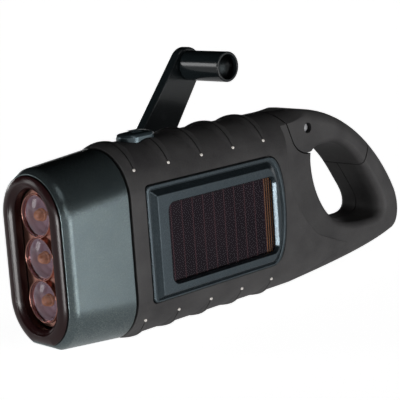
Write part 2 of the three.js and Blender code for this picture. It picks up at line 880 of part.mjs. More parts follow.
function bezel() {
  const round = frontRound(bezelParting, 0, rimSteps + 1).reverse();
  const inside = shroudWall + gap;
  const partX = round.at(-1)[0];
  const stations = [
    ...round.map(([x, inset]) => headStation(x, inset)),
    headStation(partX, inside),
    headStation(bezelDepth, inside),
  ];
  const opening = slotLoft([
    [-overrun, openingRadius + openingChamfer + overrun],
    [0, openingRadius + openingChamfer],
    [openingChamfer, openingRadius],
    [bezelDepth + overrun, openingRadius],
  ]);
  return [piece("front_bezel", loft(stations).subtract(opening), "bezel")];
}

function lampPlaces() {
  return [
    ["upper", lampMiddleZ + lensPitch],
    ["middle", lampMiddleZ],
    ["lower", lampMiddleZ - lensPitch],
  ];
}

// Crown of a lens and top of an LED as shares of their radius and their height.
const crownShares = [[0, 1], [0.5, 0.75], [0.87, 0.25], [1, 0]];
const ledTopShares = [[0, 1], [0.7, 0.7], [1, 0]];

function lamps() {
  const made = [];
  const front = lensRimX + lensRimThickness + gap;
  const rear = front + reflectorDepth;
  const cups = lampPlaces().map(([, z]) => {
    const mouth = lensRadius - gap;
    const throat = ledRadius + gap;
    const half = (mouth + throat) / 2 + throat / 4;
    const profile = [[0, front - overrun], [mouth, front - overrun], [mouth, front],
      [half, (front + rear) / 2], [throat, rear], [throat, rear + overrun], [0, rear + overrun]];
    return lampTurned(profile, z);
  });
  const blockOutline = slotLoft([[front, openingRadius - gap], [rear, openingRadius - gap]]);
  made.push(piece("reflector", cutAll(blockOutline, cups), "reflector"));
  for (const [place, z] of lampPlaces()) {
    const back = lensRimX + lensRimThickness;
    const crown = crownShares.map(([out, up]) => [lensRadius * out, lensRimX - lensCrown * up]);
    const lens = [...crown, [lensRadius, back], [0, back]];
    made.push(piece(`${place}_lens`, lampTurned(lens, z), "clear"));
    const ledBack = ledBoardX - gap;
    const shoulder = ledBack - ledHeight;
    const top = ledTopShares.map(([out, up]) => [ledRadius * out, shoulder - ledRadius * up]);
    const led = [...top, [ledRadius, ledBack], [0, ledBack]];
    made.push(piece(`${place}_led`, lampTurned(led, z), "amber"));
  }
  const inset = shroudWall + 2 * gap;
  const board = loft([
    headStation(ledBoardX, inset),
    headStation(ledBoardX + ledBoardThickness, inset),
  ]);
  made.push(piece("led_board", board, "circuit"));
  return made;
}

// Dome on the crank side: a cap with a long bearing for the crank shaft.
function dome() {
  const bore = shaftRadius + runningGap;
  const spigot = domeRadius - domeFlange;
  const seatY = halfThickness + gap;
  const innerTop = domeTopY - domeWall;
  const profile = [
    [bore, innerHalf - domeEdge], [domeBossRadius, innerHalf - domeEdge], [domeBossRadius, innerTop],
    [domeTopRadius - domeWall - domeEdge, innerTop], [spigot - domeWall, innerHalf],
    [spigot, innerHalf], [spigot, seatY], [domeRadius, seatY],
    [domeRadius, seatY + domeEdge], [domeTopRadius + domeEdge, domeTopY - 3 * domeEdge],
    [domeTopRadius, domeTopY - domeEdge], [domeTopRadius - domeEdge, domeTopY], [bore, domeTopY],
    [bore, innerHalf - domeEdge],
  ];
  return [piece("crank_dome", turned(profile, crankX, crankZ, wheelSteps), "rubberised")];
}

// Outline of a spur gear; one tooth points along the phase angle.
function gearOutline(teeth, phase, x, z) {
  const pitchRadius = (gearModule * teeth) / 2;
  const baseRadius = pitchRadius * Math.cos(pressureAngle);
  const tip = pitchRadius + addendum;
  const root = pitchRadius - dedendum;
  const involute = (radius) => {
    const angle = Math.acos(Math.min(1, baseRadius / radius));
    return Math.tan(angle) - angle;
  };
  const pitchHalf = Math.PI / (2 * teeth) - toothThinning / pitchRadius;
  const halfAngle = (radius) => pitchHalf + involute(pitchRadius) - involute(radius);
  const flank = [Math.max(root, baseRadius), tip];
  const points = [];
  for (let tooth = 0; tooth < teeth; tooth += 1) {
    const middle = phase + (2 * Math.PI * tooth) / teeth;
    const side = flank.map((radius) => [radius, halfAngle(radius)]);
    if (root < baseRadius) side.unshift([root, halfAngle(baseRadius)]);
    for (const [radius, half] of side) {
      points.push([radius, middle - half]);
    }
    for (const [radius, half] of side.reverse()) {
      points.push([radius, middle + half]);
    }
  }
  return points.map(([radius, angle]) =>
    new THREE.Vector2(x + radius * Math.cos(angle), z + radius * Math.sin(angle)),
  );
}

// Phase that sets a second gear in mesh with a first one, along a direction from first to second.
function meshedPhase(firstTeeth, firstPhase, direction, secondTeeth) {
  const share = ((direction - firstPhase) * firstTeeth) / (2 * Math.PI);
  return direction + Math.PI + ((share + 0.5) * 2 * Math.PI) / secondTeeth;
}

// Places, heights and phases of the gear train, from the crank to the rotor.
function train() {
  const firstDistance = (gearModule * (crankGearTeeth + pinionTeeth)) / 2;
  const laterDistance = (gearModule * (wheelTeeth + pinionTeeth)) / 2;
  const step = (from, angle, distance) => ({
    x: from.x + distance * Math.cos(angle),
    z: from.z + distance * Math.sin(angle),
  });
  const crank = { x: crankX, z: crankZ };
  const first = step(crank, firstIdlerAngle, firstDistance);
  const second = step(first, secondIdlerAngle, laterDistance);
  const rotor = step(second, rotorAngle, laterDistance);
  const firstPhase = meshedPhase(crankGearTeeth, 0, firstIdlerAngle, pinionTeeth);
  const secondPhase = meshedPhase(wheelTeeth, firstPhase, secondIdlerAngle, pinionTeeth);
  const rotorPhase = meshedPhase(wheelTeeth, secondPhase, rotorAngle, pinionTeeth);
  const secondWheelY = plateY + plateThickness + 2 * gap;
  const firstWheelY = secondWheelY + pinionThickness;
  const crankGearY = firstWheelY + pinionThickness + screwHeadHeight / 2;
  return { first, second, rotor, firstPhase, secondPhase, rotorPhase, secondWheelY, firstWheelY, crankGearY };
}

function bored(shape, radius, x, z) {
  return shape.subtract(bar(radius, -bodyThickness, bodyThickness, x, z));
}

// An idler: a wheel with a smaller pinion on its crank side, in one moulding.
function idler(name, place, phase, lowY, pinionTop) {
  const wheel = slab(gearOutline(wheelTeeth, phase, place.x, place.z), lowY, lowY + gearThickness);
  const pinion = slab(gearOutline(pinionTeeth, phase, place.x, place.z), lowY, pinionTop);
  return piece(name, bored(wheel.add(pinion), axleRadius + runningGap, place.x, place.z), "nylon");
}

function idlers() {
  const t = train();
  const firstTop = t.crankGearY + gearThickness + gap;
  const secondTop = t.firstWheelY + gearThickness + gap;
  return {
    first: idler("first_idler", t.first, t.firstPhase, t.firstWheelY, firstTop),
    second: idler("second_idler", t.second, t.secondPhase, t.secondWheelY, secondTop),
  };
}

function axles() {
  const t = train();
  const low = plateY;
  const firstTop = innerHalf - gap;
  const secondTop = t.firstWheelY + gearThickness + 2 * gap;
  return [
    piece("first_idler_axle", bar(axleRadius, low, firstTop, t.first.x, t.first.z), "steel"),
    piece("second_idler_axle", bar(axleRadius, low, secondTop, t.second.x, t.second.z), "steel"),
  ];
}

// A strip with round ends between two places, across Y.
function strip(from, to, half, lowY, highY) {
  const along = Math.atan2(to.z - from.z, to.x - from.x);
  const quarter = Math.PI / 2;
  const outline = [
    ...arc(to.x, to.z, half, along - quarter, along + quarter),
    ...arc(from.x, from.z, half, along + quarter, along + 3 * quarter),
  ];
  return slab(outline, lowY, highY);
}

// Spider plate that carries the axles, on three posts that reach the crank side shell.
function gearPlate() {
  const t = train();
  const posts = postAngles.map((angle) => ({
    x: crankX + postReach * Math.cos(angle),
    z: crankZ + postReach * Math.sin(angle),
  }));
  const arms = [[t.second, t.first], [t.second, t.rotor], [t.second, posts[0]], [t.second, posts[1]],
    [t.rotor, posts[2]]];
  const strips = arms.map(([from, to]) => strip(from, to, plateMargin, plateY, plateY + plateThickness));
  const standing = posts.map((p) => bar(postRadius, plateY, innerHalf - gap, p.x, p.z));
  const bores = [t.first, t.second, t.rotor].map((p) =>
    bar(axleRadius + runningGap, -bodyThickness, bodyThickness, p.x, p.z),
  );
  const room = bodyBar(bodyStart, tailCurveX, wall + gap).subtract(behindScoop(wall + gap));
  const plate = unite([...strips, ...standing]).intersect(room);
  return [piece("gear_plate", cutAll(plate, bores), "nylon")];
}

// Rotor: a ring magnet and its pinion on one shaft.
function rotor() {
  const t = train();
  const magnetTop = plateY - 2 * gap;
  const magnetLow = magnetTop - rotorLength;
  const shaftTop = t.secondWheelY + gearThickness;
  const shape = unite([
    bar(rotorRadius, magnetLow, magnetTop, t.rotor.x, t.rotor.z, cellSteps),
    bar(axleRadius, magnetLow - gap, shaftTop, t.rotor.x, t.rotor.z),
    slab(gearOutline(pinionTeeth, t.rotorPhase, t.rotor.x, t.rotor.z), t.secondWheelY, shaftTop),
  ]);
  return piece("rotor", shape, "steel");
}

// Stator: a wound ring in a cup round the rotor.
function stator() {
  const t = train();
  const top = plateY - gap;
  const low = top - rotorLength - boardThickness;
  const inner = statorRadius - statorWall;
  const profile = [[inner, low], [statorRadius, low], [statorRadius, top], [inner, top], [inner, low]];
  return [piece("stator", turned(profile, t.rotor.x, t.rotor.z), "copper")];
}

function boards() {
  const boardY = pocketY + pocketFloor + gap;
  const right = train().rotor.x + statorRadius;
  const middle = crankZ;
  const main = block(
    [right - boardLength, boardY, middle - boardHeight / 2],
    [right, boardY + boardThickness, middle + boardHeight / 2],
  );
  return [piece("main_board", main, "circuit")];
}

// Battery: button cells stacked in a round holder behind the head.
function battery() {
  const low = pocketY + pocketFloor + gap;
  const made = [];
  for (let i = 0; i < cellCount; i += 1) {
    const cellLow = low + holderFloor + gap + i * (buttonCellThickness + gap);
    const top = cellLow + buttonCellThickness;
    const profile = [[0, cellLow], [buttonCellRadius - buttonCellEdge, cellLow],
      [buttonCellRadius, cellLow + buttonCellEdge], [buttonCellRadius, top], [0, top]];
    made.push(piece(`button_cell_${i + 1}`, turned(profile, batteryX, batteryZ, cellSteps), "steel"));
  }
  const inner = buttonCellRadius + gap;
  const outer = inner + holderWall;
  const top = low + holderFloor + cellCount * (buttonCellThickness + gap);
  const floorTop = low + holderFloor;
  const cup = [[0, low], [outer, low], [outer, top], [inner, top], [inner, floorTop], [0, floorTop]];
  made.push(piece("battery_holder", turned(cup, batteryX, batteryZ, cellSteps), "glossBlack"));
  return made;
}

// Top of the power button as shares of its crown: how far down, and how far in.
const buttonTopShares = [[1, 0], [0.35, 0.8], [0, 2.4]];

function powerButton() {
  const flangeTop = bodyHeight - 2 * wall;
  const flangeLow = flangeTop - wall / 2;
  const capTop = bodyHeight + buttonProud;
  const cap = cushion(buttonOutline(0), [
    [flangeLow, 0],
    ...buttonTopShares.map(([down, inset]) => [capTop - buttonCrown * down, buttonCrown * inset]),
  ]);
  const flange = cushion(buttonOutline(buttonFlange), [[flangeLow, 0], [flangeTop, 0]]);
  const stemLow = switchTop() + switchPlungerHeight + buttonTravel + gap;
  const stem = cushion(circle(buttonX, 0, buttonStemRadius, pinSteps), [[stemLow, 0], [flangeTop, 0]]);
  return piece("power_button", unite([cap, flange, stem]), "glossBlack");
}

function switchTop() {
  return switchBoardZ() + boardThickness + gap + switchHeight;
}

function powerSwitch() {
  const half = switchSize / 2;
  const low = switchTop() - switchHeight;
  const body = block([buttonX - half, -half, low], [buttonX + half, half, switchTop()]);
  const plunger = cushion(circle(buttonX, 0, switchPlungerRadius, pinSteps), [
    [low, 0],
    [switchTop() + switchPlungerHeight, 0],
  ]);
  const board = block(
    [buttonX - switchSize, -switchSize - half, switchBoardZ()],
    [buttonX + switchSize, half, switchBoardZ() + boardThickness],
  );
  return [
    piece("power_switch", body.add(plunger), "steel"),
    piece("switch_board", board, "circuit"),
  ];
}

// Crank pieces are built with the arm along +X and the shaft at the origin of X and Z.
function alongZ(radius, lowZ, highZ, y) {
  const geometry = new THREE.CylinderGeometry(radius, radius, highZ - lowZ, roundSteps / 2);
  geometry.rotateX(Math.PI / 2);
  geometry.translate(0, y, (lowZ + highZ) / 2);
  return solid(geometry);
}

function crankHub() {
  const t = train();
  const low = domeTopY + gap;
  const neckTop = armMiddleY - earRadius;
  const shaftLow = t.crankGearY;
  const bore = screwRadius + gap;
  const profile = [[bore, shaftLow], [shaftRadius, shaftLow], [shaftRadius, low], [hubRadius, low],
    [hubRadius, low + hubFlange], [hubNeckRadius, low + hubFlange + gap], [hubNeckRadius, neckTop],
    [0, neckTop], [0, shaftLow + screwGrip], [bore, shaftLow + screwGrip], [bore, shaftLow]];
  const ears = [-1, 1].map((side) => {
    const near = eyeWidth / 2 + gap;
    const far = near + earWidth;
    const [lowZ, highZ] = side > 0 ? [near, far] : [-far, -near];
    const cheek = block([-earRadius, low + hubFlange, lowZ], [earRadius, armMiddleY, highZ]);
    return cheek.add(alongZ(earRadius, lowZ, highZ, armMiddleY));
  });
  const pinBore = alongZ(hingePinRadius + runningGap, -hubRadius, hubRadius, armMiddleY);
  return piece("crank_hub", unite([turned(profile, 0, 0), ...ears]).subtract(pinBore), "glossBlack");
}

function crankGear() {
  const t = train();
  const outline = gearOutline(crankGearTeeth, -crankAngle, 0, 0);
  const wheel = slab(outline, t.crankGearY, t.crankGearY + gearThickness);
  return piece("crank_gear", bored(wheel, shaftRadius + gap, 0, 0), "nylon");
}

function hubScrew() {
  const t = train();
  const top = t.crankGearY - gap / 2;
  const low = top - screwHeadHeight / 2 + gap / 2;
  const head = shaftRadius + 2 * gap + wall / 3;
  const tip = t.crankGearY + screwGrip - gap;
  const profile = [[0, low], [head, low], [head, top], [screwRadius, top], [screwRadius, tip], [0, tip]];
  return piece("crank_screw", turned(profile, 0, 0, pinSteps), "steel");
}

function hingePin() {
  const reach = eyeWidth / 2 + earWidth;
  return piece("crank_hinge_pin", alongZ(hingePinRadius, -reach, reach, armMiddleY), "steel");
}

// Crank arm: an eye between the hub's ears, then a bar that tapers to a round end.
function crankArm() {
  const shoulder = earRadius + 2 * gap + gap;
  const spread = Math.asin((armRootWidth / 2 - armEndRadius) / crankRadius);
  const quarter = Math.PI / 2;
  const outline = [
    new THREE.Vector2(0, -eyeWidth / 2),
    new THREE.Vector2(shoulder, -eyeWidth / 2),
    new THREE.Vector2(shoulder, -armRootWidth / 2),
    ...arc(crankRadius, 0, armEndRadius, -quarter - spread, quarter + spread, 2 * arcSteps),
    new THREE.Vector2(shoulder, armRootWidth / 2),
    new THREE.Vector2(shoulder, eyeWidth / 2),
    new THREE.Vector2(0, eyeWidth / 2),
  ];
  const plate = slab(outline, armInnerY, armInnerY + armThickness);
  const eye = alongZ(eyeRadius, -eyeWidth / 2, eyeWidth / 2, armMiddleY);
  const eyeBore = alongZ(hingePinRadius + runningGap, -hubRadius, hubRadius, armMiddleY);
  const pinBore = bar(knobPinRadius + gap, 0, bodyThickness * 2, crankRadius, 0);
  return piece("crank_arm", cutAll(plate.add(eye), [eyeBore, pinBore]), "glossBlack");
}

// Domed head of the knob's pin as shares of its radius and of the knob's rim.
const pinHeadShares = [[0, 0], [0.6, 0.35], [1, 1]];

function knobPin() {
  const end = armInnerY - knobLength;
  const head = knobRadius - knobRim - gap;
  const headLow = end + knobRim;
  const headTop = end + knobCounterbore - gap;
  const outer = armInnerY + armThickness + gap;
  const rivetTop = outer + rivetThickness;
  const dome = pinHeadShares.map(([out, up]) => [head * out, headLow + knobRim * up]);
  const profile = [...dome, [head, headTop], [knobPinRadius, headTop], [knobPinRadius, outer],
    [rivetRadius, outer], [rivetRadius - gap, rivetTop], [0, rivetTop]];
  return piece("knob_pin", turned(profile, crankRadius, 0, cellSteps), "steel");
}

function crankKnob() {
  const end = armInnerY - knobLength;
  const top = armInnerY - gap;
  const bore = knobPinRadius + runningGap;
  const cup = knobRadius - knobRim;
  const soft = knobRim / 2;
  const profile = [[bore, end + knobCounterbore], [cup, end + knobCounterbore], [cup, end],
    [knobRadius - soft / 2, end], [knobRadius, end + soft], [knobRadius, top - soft],
    [knobRadius - soft, top], [bore, top], [bore, end + knobCounterbore]];
  return piece("crank_knob", turned(profile, crankRadius, 0), "glossBlack");
}

// The flashlight: fixed pieces, then each moving assembly in its own group.
const torch = new THREE.Group();
torch.position.x = -crankX;

const fixed = new THREE.Group();
const gateParts = gate();
fixed.add(...shells(), ...shroud(), ...bezel(), ...lamps(), ...solarFrame(), ...solarCell());
fixed.add(...dome(), ...gearPlate(), ...axles(), ...stator(), ...boards(), ...battery());
fixed.add(...powerSwitch(), ...screws(), ...gateParts.fixed);

const crank = new THREE.Group();
crank.position.set(crankX, 0, crankZ);
crank.rotation.y = -crankAngle;
crank.add(crankHub(), crankGear(), hubScrew(), hingePin(), crankArm(), knobPin(), crankKnob());

const gears = new THREE.Group();
const idlerPair = idlers();
gears.add(idlerPair.first, idlerPair.second, rotor());

torch.add(fixed, crank, gears, gateParts.gate, powerButton());

const flashlight = new THREE.Group();
flashlight.add(torch);
export default flashlight;
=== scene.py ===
"""Looks of a hand crank flashlight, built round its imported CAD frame.

Lengths are in millimetres, with X counted from the head's front face, until a piece is finished;
there they turn to metres in the frame of the CAD part. An outline is an array of two columns.
"""

from __future__ import annotations

import json
import logging
import math
from dataclasses import dataclass, field
from enum import Enum
from typing import Sequence

import bmesh
import bpy
import numpy as np
from mathutils import Matrix, Vector

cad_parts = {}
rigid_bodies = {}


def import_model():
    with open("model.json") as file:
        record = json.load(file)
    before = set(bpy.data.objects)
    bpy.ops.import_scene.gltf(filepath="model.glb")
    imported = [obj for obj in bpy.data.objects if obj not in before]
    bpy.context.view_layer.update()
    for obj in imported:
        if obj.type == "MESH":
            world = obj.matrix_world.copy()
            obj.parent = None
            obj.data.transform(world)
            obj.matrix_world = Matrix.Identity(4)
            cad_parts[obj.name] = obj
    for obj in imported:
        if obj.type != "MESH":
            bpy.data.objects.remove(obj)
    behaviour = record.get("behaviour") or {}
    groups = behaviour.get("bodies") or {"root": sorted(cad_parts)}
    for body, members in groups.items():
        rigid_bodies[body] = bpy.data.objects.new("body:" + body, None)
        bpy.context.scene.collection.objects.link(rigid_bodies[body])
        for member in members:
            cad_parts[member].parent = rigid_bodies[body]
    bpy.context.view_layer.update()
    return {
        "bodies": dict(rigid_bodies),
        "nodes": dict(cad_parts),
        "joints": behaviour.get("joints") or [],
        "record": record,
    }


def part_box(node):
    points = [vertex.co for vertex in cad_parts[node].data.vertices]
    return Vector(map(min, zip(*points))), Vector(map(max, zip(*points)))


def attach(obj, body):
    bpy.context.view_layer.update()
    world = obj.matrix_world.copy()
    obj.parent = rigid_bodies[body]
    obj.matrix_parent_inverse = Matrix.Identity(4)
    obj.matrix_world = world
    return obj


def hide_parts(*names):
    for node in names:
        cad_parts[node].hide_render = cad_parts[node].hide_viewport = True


LOG = logging.getLogger("flashlight")

MM = 0.001
ORIGIN_X = 63.7
WHITE = "#ffffff"
# Edges under this angle are shaded as one surface.
SMOOTH_DEG = 32
# Points nearer than this are one point.
MERGE_MM = 1e-5
# Share of a side that the round of its corner may take.
ROUND_SHARE = 0.45

Inputs = dict[str | int, object]
Outline = np.ndarray
Points = Sequence[Sequence[float]]
Nodes = dict[str, bpy.types.Object]
Socket = bpy.types.NodeSocket


def linear(hex_colour: str) -> tuple[float, float, float, float]:
    """Turns an sRGB hex colour to the linear values that shaders take.

    Args:
        hex_colour: Six hex digits after a hash sign.

    Returns:
        Red, green, blue and an alpha of 1.
    """
    parts = [int(hex_colour[i : i + 2], 16) / 255 for i in (1, 3, 5)]
    red, green, blue = (c / 12.92 if c <= 0.04045 else ((c + 0.055) / 1.055) ** 2.4 for c in parts)
    return (red, green, blue, 1.0)


@dataclass
class Graph:
    """Node tree that is filled node by node.

    Attributes:
        tree: The node tree.
    """

    tree: bpy.types.NodeTree

    def set(self, node: bpy.types.Node, inputs: Inputs) -> None:
        """Sets a node's inputs.

        Args:
            node: The node.
            inputs: Values by the inputs' name or number; a socket among them is linked.
        """
        for name, value in inputs.items():
            if isinstance(value, Socket):
                self.tree.links.new(value, node.inputs[name])
            else:
                node.inputs[name].default_value = value

    def add(
        self,
        kind: str,
        inputs: Inputs | None = None,
        output: str | int = 0,
        stops: Sequence[tuple[float, str]] = (),
        **settings: object,
    ) -> Socket:
        """Adds a node.

        Args:
            kind: The node's type name.
            inputs: Values for its inputs, as `set` takes them.
            output: Name or number of the output that is wanted.
            stops: (place, sRGB hex) of each stop of a colour ramp.
            settings: The node's own settings.

        Returns:
            That output.
        """
        node = self.tree.nodes.new(kind)
        for name, value in settings.items():
            setattr(node, name, value)
        self.set(node, inputs or {})
        while stops and len(node.color_ramp.elements) < len(stops):
            node.color_ramp.elements.new(0.5)
        for i, (place, colour) in enumerate(stops):
            stop = node.color_ramp.elements[i]
            stop.position, stop.color = place, linear(colour)
        return node.outputs[output]


@dataclass
class Bench(Graph):
    """Node tree of one material while its surface is made.

    Attributes:
        edge_mm: Radius that the shading gives to edges.
        shader: The tree's principled shader.
        place: Object coordinates, in metres.
        normal: Normal with rounded edges.
    """

    edge_mm: float
    shader: bpy.types.Node = field(init=False)
    place: Socket = field(init=False)
    normal: Socket = field(init=False)

    def __post_init__(self) -> None:
        """Adds the nodes that every finish starts from."""
        self.shader = self.tree.nodes["Principled BSDF"]
        self.place = self.add("ShaderNodeTexCoord", output="Object")
        self.normal = self.add("ShaderNodeBevel", {"Radius": self.edge_mm * MM}, samples=6)

    def grain(self, size_mm: float, detail: float) -> Inputs:
        """Gives the inputs of a noise texture with blotches of a real size."""
        return {"Vector": self.place, "Scale": 1 / (size_mm * MM), "Detail": detail}

    def relief(self, height: Socket, depth_mm: float) -> Inputs:
        """Gives the inputs of a bump of a real depth over the rounded edges."""
        return {"Height": height, "Distance": depth_mm * MM, "Strength": 1.0, "Normal": self.normal}


@dataclass(frozen=True)
class Finish:
    """One real material and how its surface was made.

    Attributes:
        name: Name of the Blender material.
        colour: Base colour as sRGB hex.
        roughness: Roughness of the surface.
        metallic: How metallic it is.
        ior: Index of refraction.
        edge_mm: Radius that moulding or deburring leaves on edges.
    """

    name: str
    colour: str
    roughness: float
    metallic: float = 0.0
    ior: float = 1.5
    edge_mm: float = 0.25

    def build(self) -> bpy.types.Material:
        """Makes the Blender material.

        Returns:
            The material with its nodes.
        """
        material = bpy.data.materials.new(self.name)
        material.use_nodes = True
        bench = Bench(material.node_tree, self.edge_mm)
        plain = {"Base Color": linear(self.colour), "Roughness": self.roughness}
        bench.set(bench.shader, plain | {"Metallic": self.metallic, "IOR": self.ior})
        self.dress(bench)
        return material

    def dress(self, bench: Bench) -> None:
        """Adds the surface's own detail; the plain form only rounds the edges."""
        bench.set(bench.shader, {"Normal": bench.normal})


@dataclass(frozen=True)
class SoftTouchRubber(Finish):
    """Thermoplastic rubber moulded over the shells: dark, matte, with a fine eroded grain.

    The grain is drawn coarser than the real one, which would be too fine to show.
    """

    light: str = "#484747"
    dark: str = "#333233"
    ramp: tuple[float, float] = (0.3, 0.7)
    grain_mm: float = 0.35
    grain_depth_mm: float = 0.02
    grain_share: float = 0.35
    blotch_mm: float = 9.0
    drier: float = 0.08
    greasier: float = 0.06
    specular: float = 0.12

    def dress(self, bench: Bench) -> None:
        """Adds grain and faint blotches from handling.

        Args:
            bench: The material's nodes.
        """
        blotches = bench.add("ShaderNodeTexNoise", bench.grain(self.blotch_mm, 4))
        grain = bench.add("ShaderNodeTexNoise", bench.grain(self.grain_mm, 3))
        both = {0: self.grain_share, 2: blotches, 3: grain}
        tone = bench.add("ShaderNodeMix", both, data_type="FLOAT")
        stops = list(zip(self.ramp, (self.dark, self.light)))
        gloss = {"To Min": self.roughness - self.greasier, "To Max": self.roughness + self.drier}
        relief = bench.relief(grain, self.grain_depth_mm)
        surface = {
            "Base Color": bench.add("ShaderNodeValToRGB", {"Fac": tone}, stops=stops),
            "Roughness": bench.add("ShaderNodeMapRange", {"Value": blotches} | gloss),
            "Normal": bench.add("ShaderNodeBump", relief),
            "Specular IOR Level": self.specular,
        }
        bench.set(bench.shader, surface)


@dataclass(frozen=True)
class FlakePaint(Finish):
    """Gunmetal lacquer with aluminium flakes, sprayed on a moulded part and clear coated.

    The eye sees a fine sparkle that shifts with the light, under a smooth gloss. The flakes are
    drawn coarser than real ones, which would be too fine to show.
    """

    dark: str = "#4f5b5f"
    light: str = "#7f8b87"
    ramp: tuple[float, float, float] = (0.12, 0.62, 0.96)
    flake_mm: float = 0.2
    tilt: float = 0.1
    cloud_mm: float = 6.0
    cloud_share: float = 0.3
    coat: float = 0.35
    coat_roughness: float = 0.22

    def dress(self, bench: Bench) -> None:
        """Gives each flake its own tone and tilt under a smooth coat.

        Args:
            bench: The material's nodes.
        """
        cells = {"Vector": bench.place, "Scale": 1 / (self.flake_mm * MM)}
        flakes = bench.add("ShaderNodeTexVoronoi", cells, output="Color")
        shade = bench.add("ShaderNodeSeparateColor", {"Color": flakes})
        cloud = bench.add("ShaderNodeTexNoise", bench.grain(self.cloud_mm, 3))
        both = {0: self.cloud_share, 2: shade, 3: cloud}
        tone = bench.add("ShaderNodeMix", both, data_type="FLOAT")
        stops = list(zip(self.ramp, (self.dark, self.colour, self.light)))
        lean = {0: flakes, 1: (0.5, 0.5, 0.5)}
        for operation, more in (
            ("SUBTRACT", {}),
            ("SCALE", {"Scale": self.tilt}),
            ("ADD", {1: bench.normal}),
            ("NORMALIZE", {}),
        ):
            lean = {0: bench.add("ShaderNodeVectorMath", lean | more, operation=operation)}
        surface = {
            "Base Color": bench.add("ShaderNodeValToRGB", {"Fac": tone}, stops=stops),
            "Normal": lean[0],
            "Coat Normal": bench.normal,
            "Coat Weight": self.coat,
            "Coat Roughness": self.coat_roughness,
        }
        bench.set(bench.shader, surface)


@dataclass(frozen=True)
class PolishedAbs(Finish):
    """ABS moulded in a polished tool: a clear gloss with a faint ripple and fine handling marks."""

    shine: float = 0.5
    coat: float = 0.25
    coat_roughness: float = 0.08
    ripple_mm: float = 2.4
    ripple_depth_mm: float = 0.006
    mark_mm: float = 0.5
    marks: tuple[float, float] = (0.7, 1.4)

    def dress(self, bench: Bench) -> None:
        """Adds the tool's ripple and small changes of gloss.

        Args:
            bench: The material's nodes.
        """
        ripple = bench.add("ShaderNodeTexNoise", bench.grain(self.ripple_mm, 2))
        marks = bench.add("ShaderNodeTexNoise", bench.grain(self.mark_mm, 5))
        low, high = self.marks
        gloss = {"Value": marks, "To Min": self.roughness * low, "To Max": self.roughness * high}
        surface = {
            "Roughness": bench.add("ShaderNodeMapRange", gloss),
            "Normal": bench.add("ShaderNodeBump", bench.relief(ripple, self.ripple_depth_mm)),
            "Specular IOR Level": self.shine,
            "Coat Weight": self.coat,
            "Coat Roughness": self.coat_roughness,
        }
        bench.set(bench.shader, surface)


@dataclass(frozen=True)
class ClearSheet(Finish):
    """Clear acrylic, moulded smooth: what lies behind shows straight through a faint mirror."""

    mark_mm: float = 4.0
    marks: tuple[float, float] = (0.7, 1.5)

    def dress(self, bench: Bench) -> None:
        """Mixes a clear pass with a mirror, on front faces, that grows towards grazing views.

        Args:
            bench: The material's nodes.
        """
        marks = bench.add("ShaderNodeTexNoise", bench.grain(self.mark_mm, 2))
        low, high = self.marks
        gloss = {"Value": marks, "To Min": self.roughness * low, "To Max": self.roughness * high}
        rough = bench.add("ShaderNodeMapRange", gloss)
        clear = bench.add("ShaderNodeBsdfTransparent", {"Color": linear(self.colour)})
        mirror = bench.add("ShaderNodeBsdfGlossy", {"Roughness": rough, "Normal": bench.normal})
        fresnel = bench.add("ShaderNodeFresnel", {"IOR": self.ior, "Normal": bench.normal})
        behind = bench.add("ShaderNodeNewGeometry", output="Backfacing")
        front = bench.add("ShaderNodeMath", {0: 1.0, 1: behind}, operation="SUBTRACT")
        share = bench.add("ShaderNodeMath", {0: fresnel, 1: front}, operation="MULTIPLY")
        surface = bench.add("ShaderNodeMixShader", {0: share, 1: clear, 2: mirror})
        bench.set(bench.tree.nodes["Material Output"], {"Surface": surface})
        bench.tree.nodes.remove(bench.shader)


@dataclass(frozen=True)
class Epoxy(Finish):
    """Cast epoxy over a diode: warm, glossy and a little cloudy.

    Its faint glow stands for the light that the cup throws into it.
    """

    deep: str = "#7a4626"
    ramp: tuple[float, float] = (0.25, 0.7)
    cloud_mm: float = 1.2
    glow: float = 0.2

    def dress(self, bench: Bench) -> None:
        """Adds cloudiness and the warm colour of the phosphor inside.

        Args:
            bench: The material's nodes.
        """
        cloud = bench.add("ShaderNodeTexNoise", bench.grain(self.cloud_mm, 3))
        stops = list(zip(self.ramp, (self.deep, self.colour)))
        colour = bench.add("ShaderNodeValToRGB", {"Fac": cloud}, stops=stops)
        glow = {"Emission Color": colour, "Emission Strength": self.glow}
        bench.set(bench.shader, {"Base Color": colour, "Normal": bench.normal} | glow)


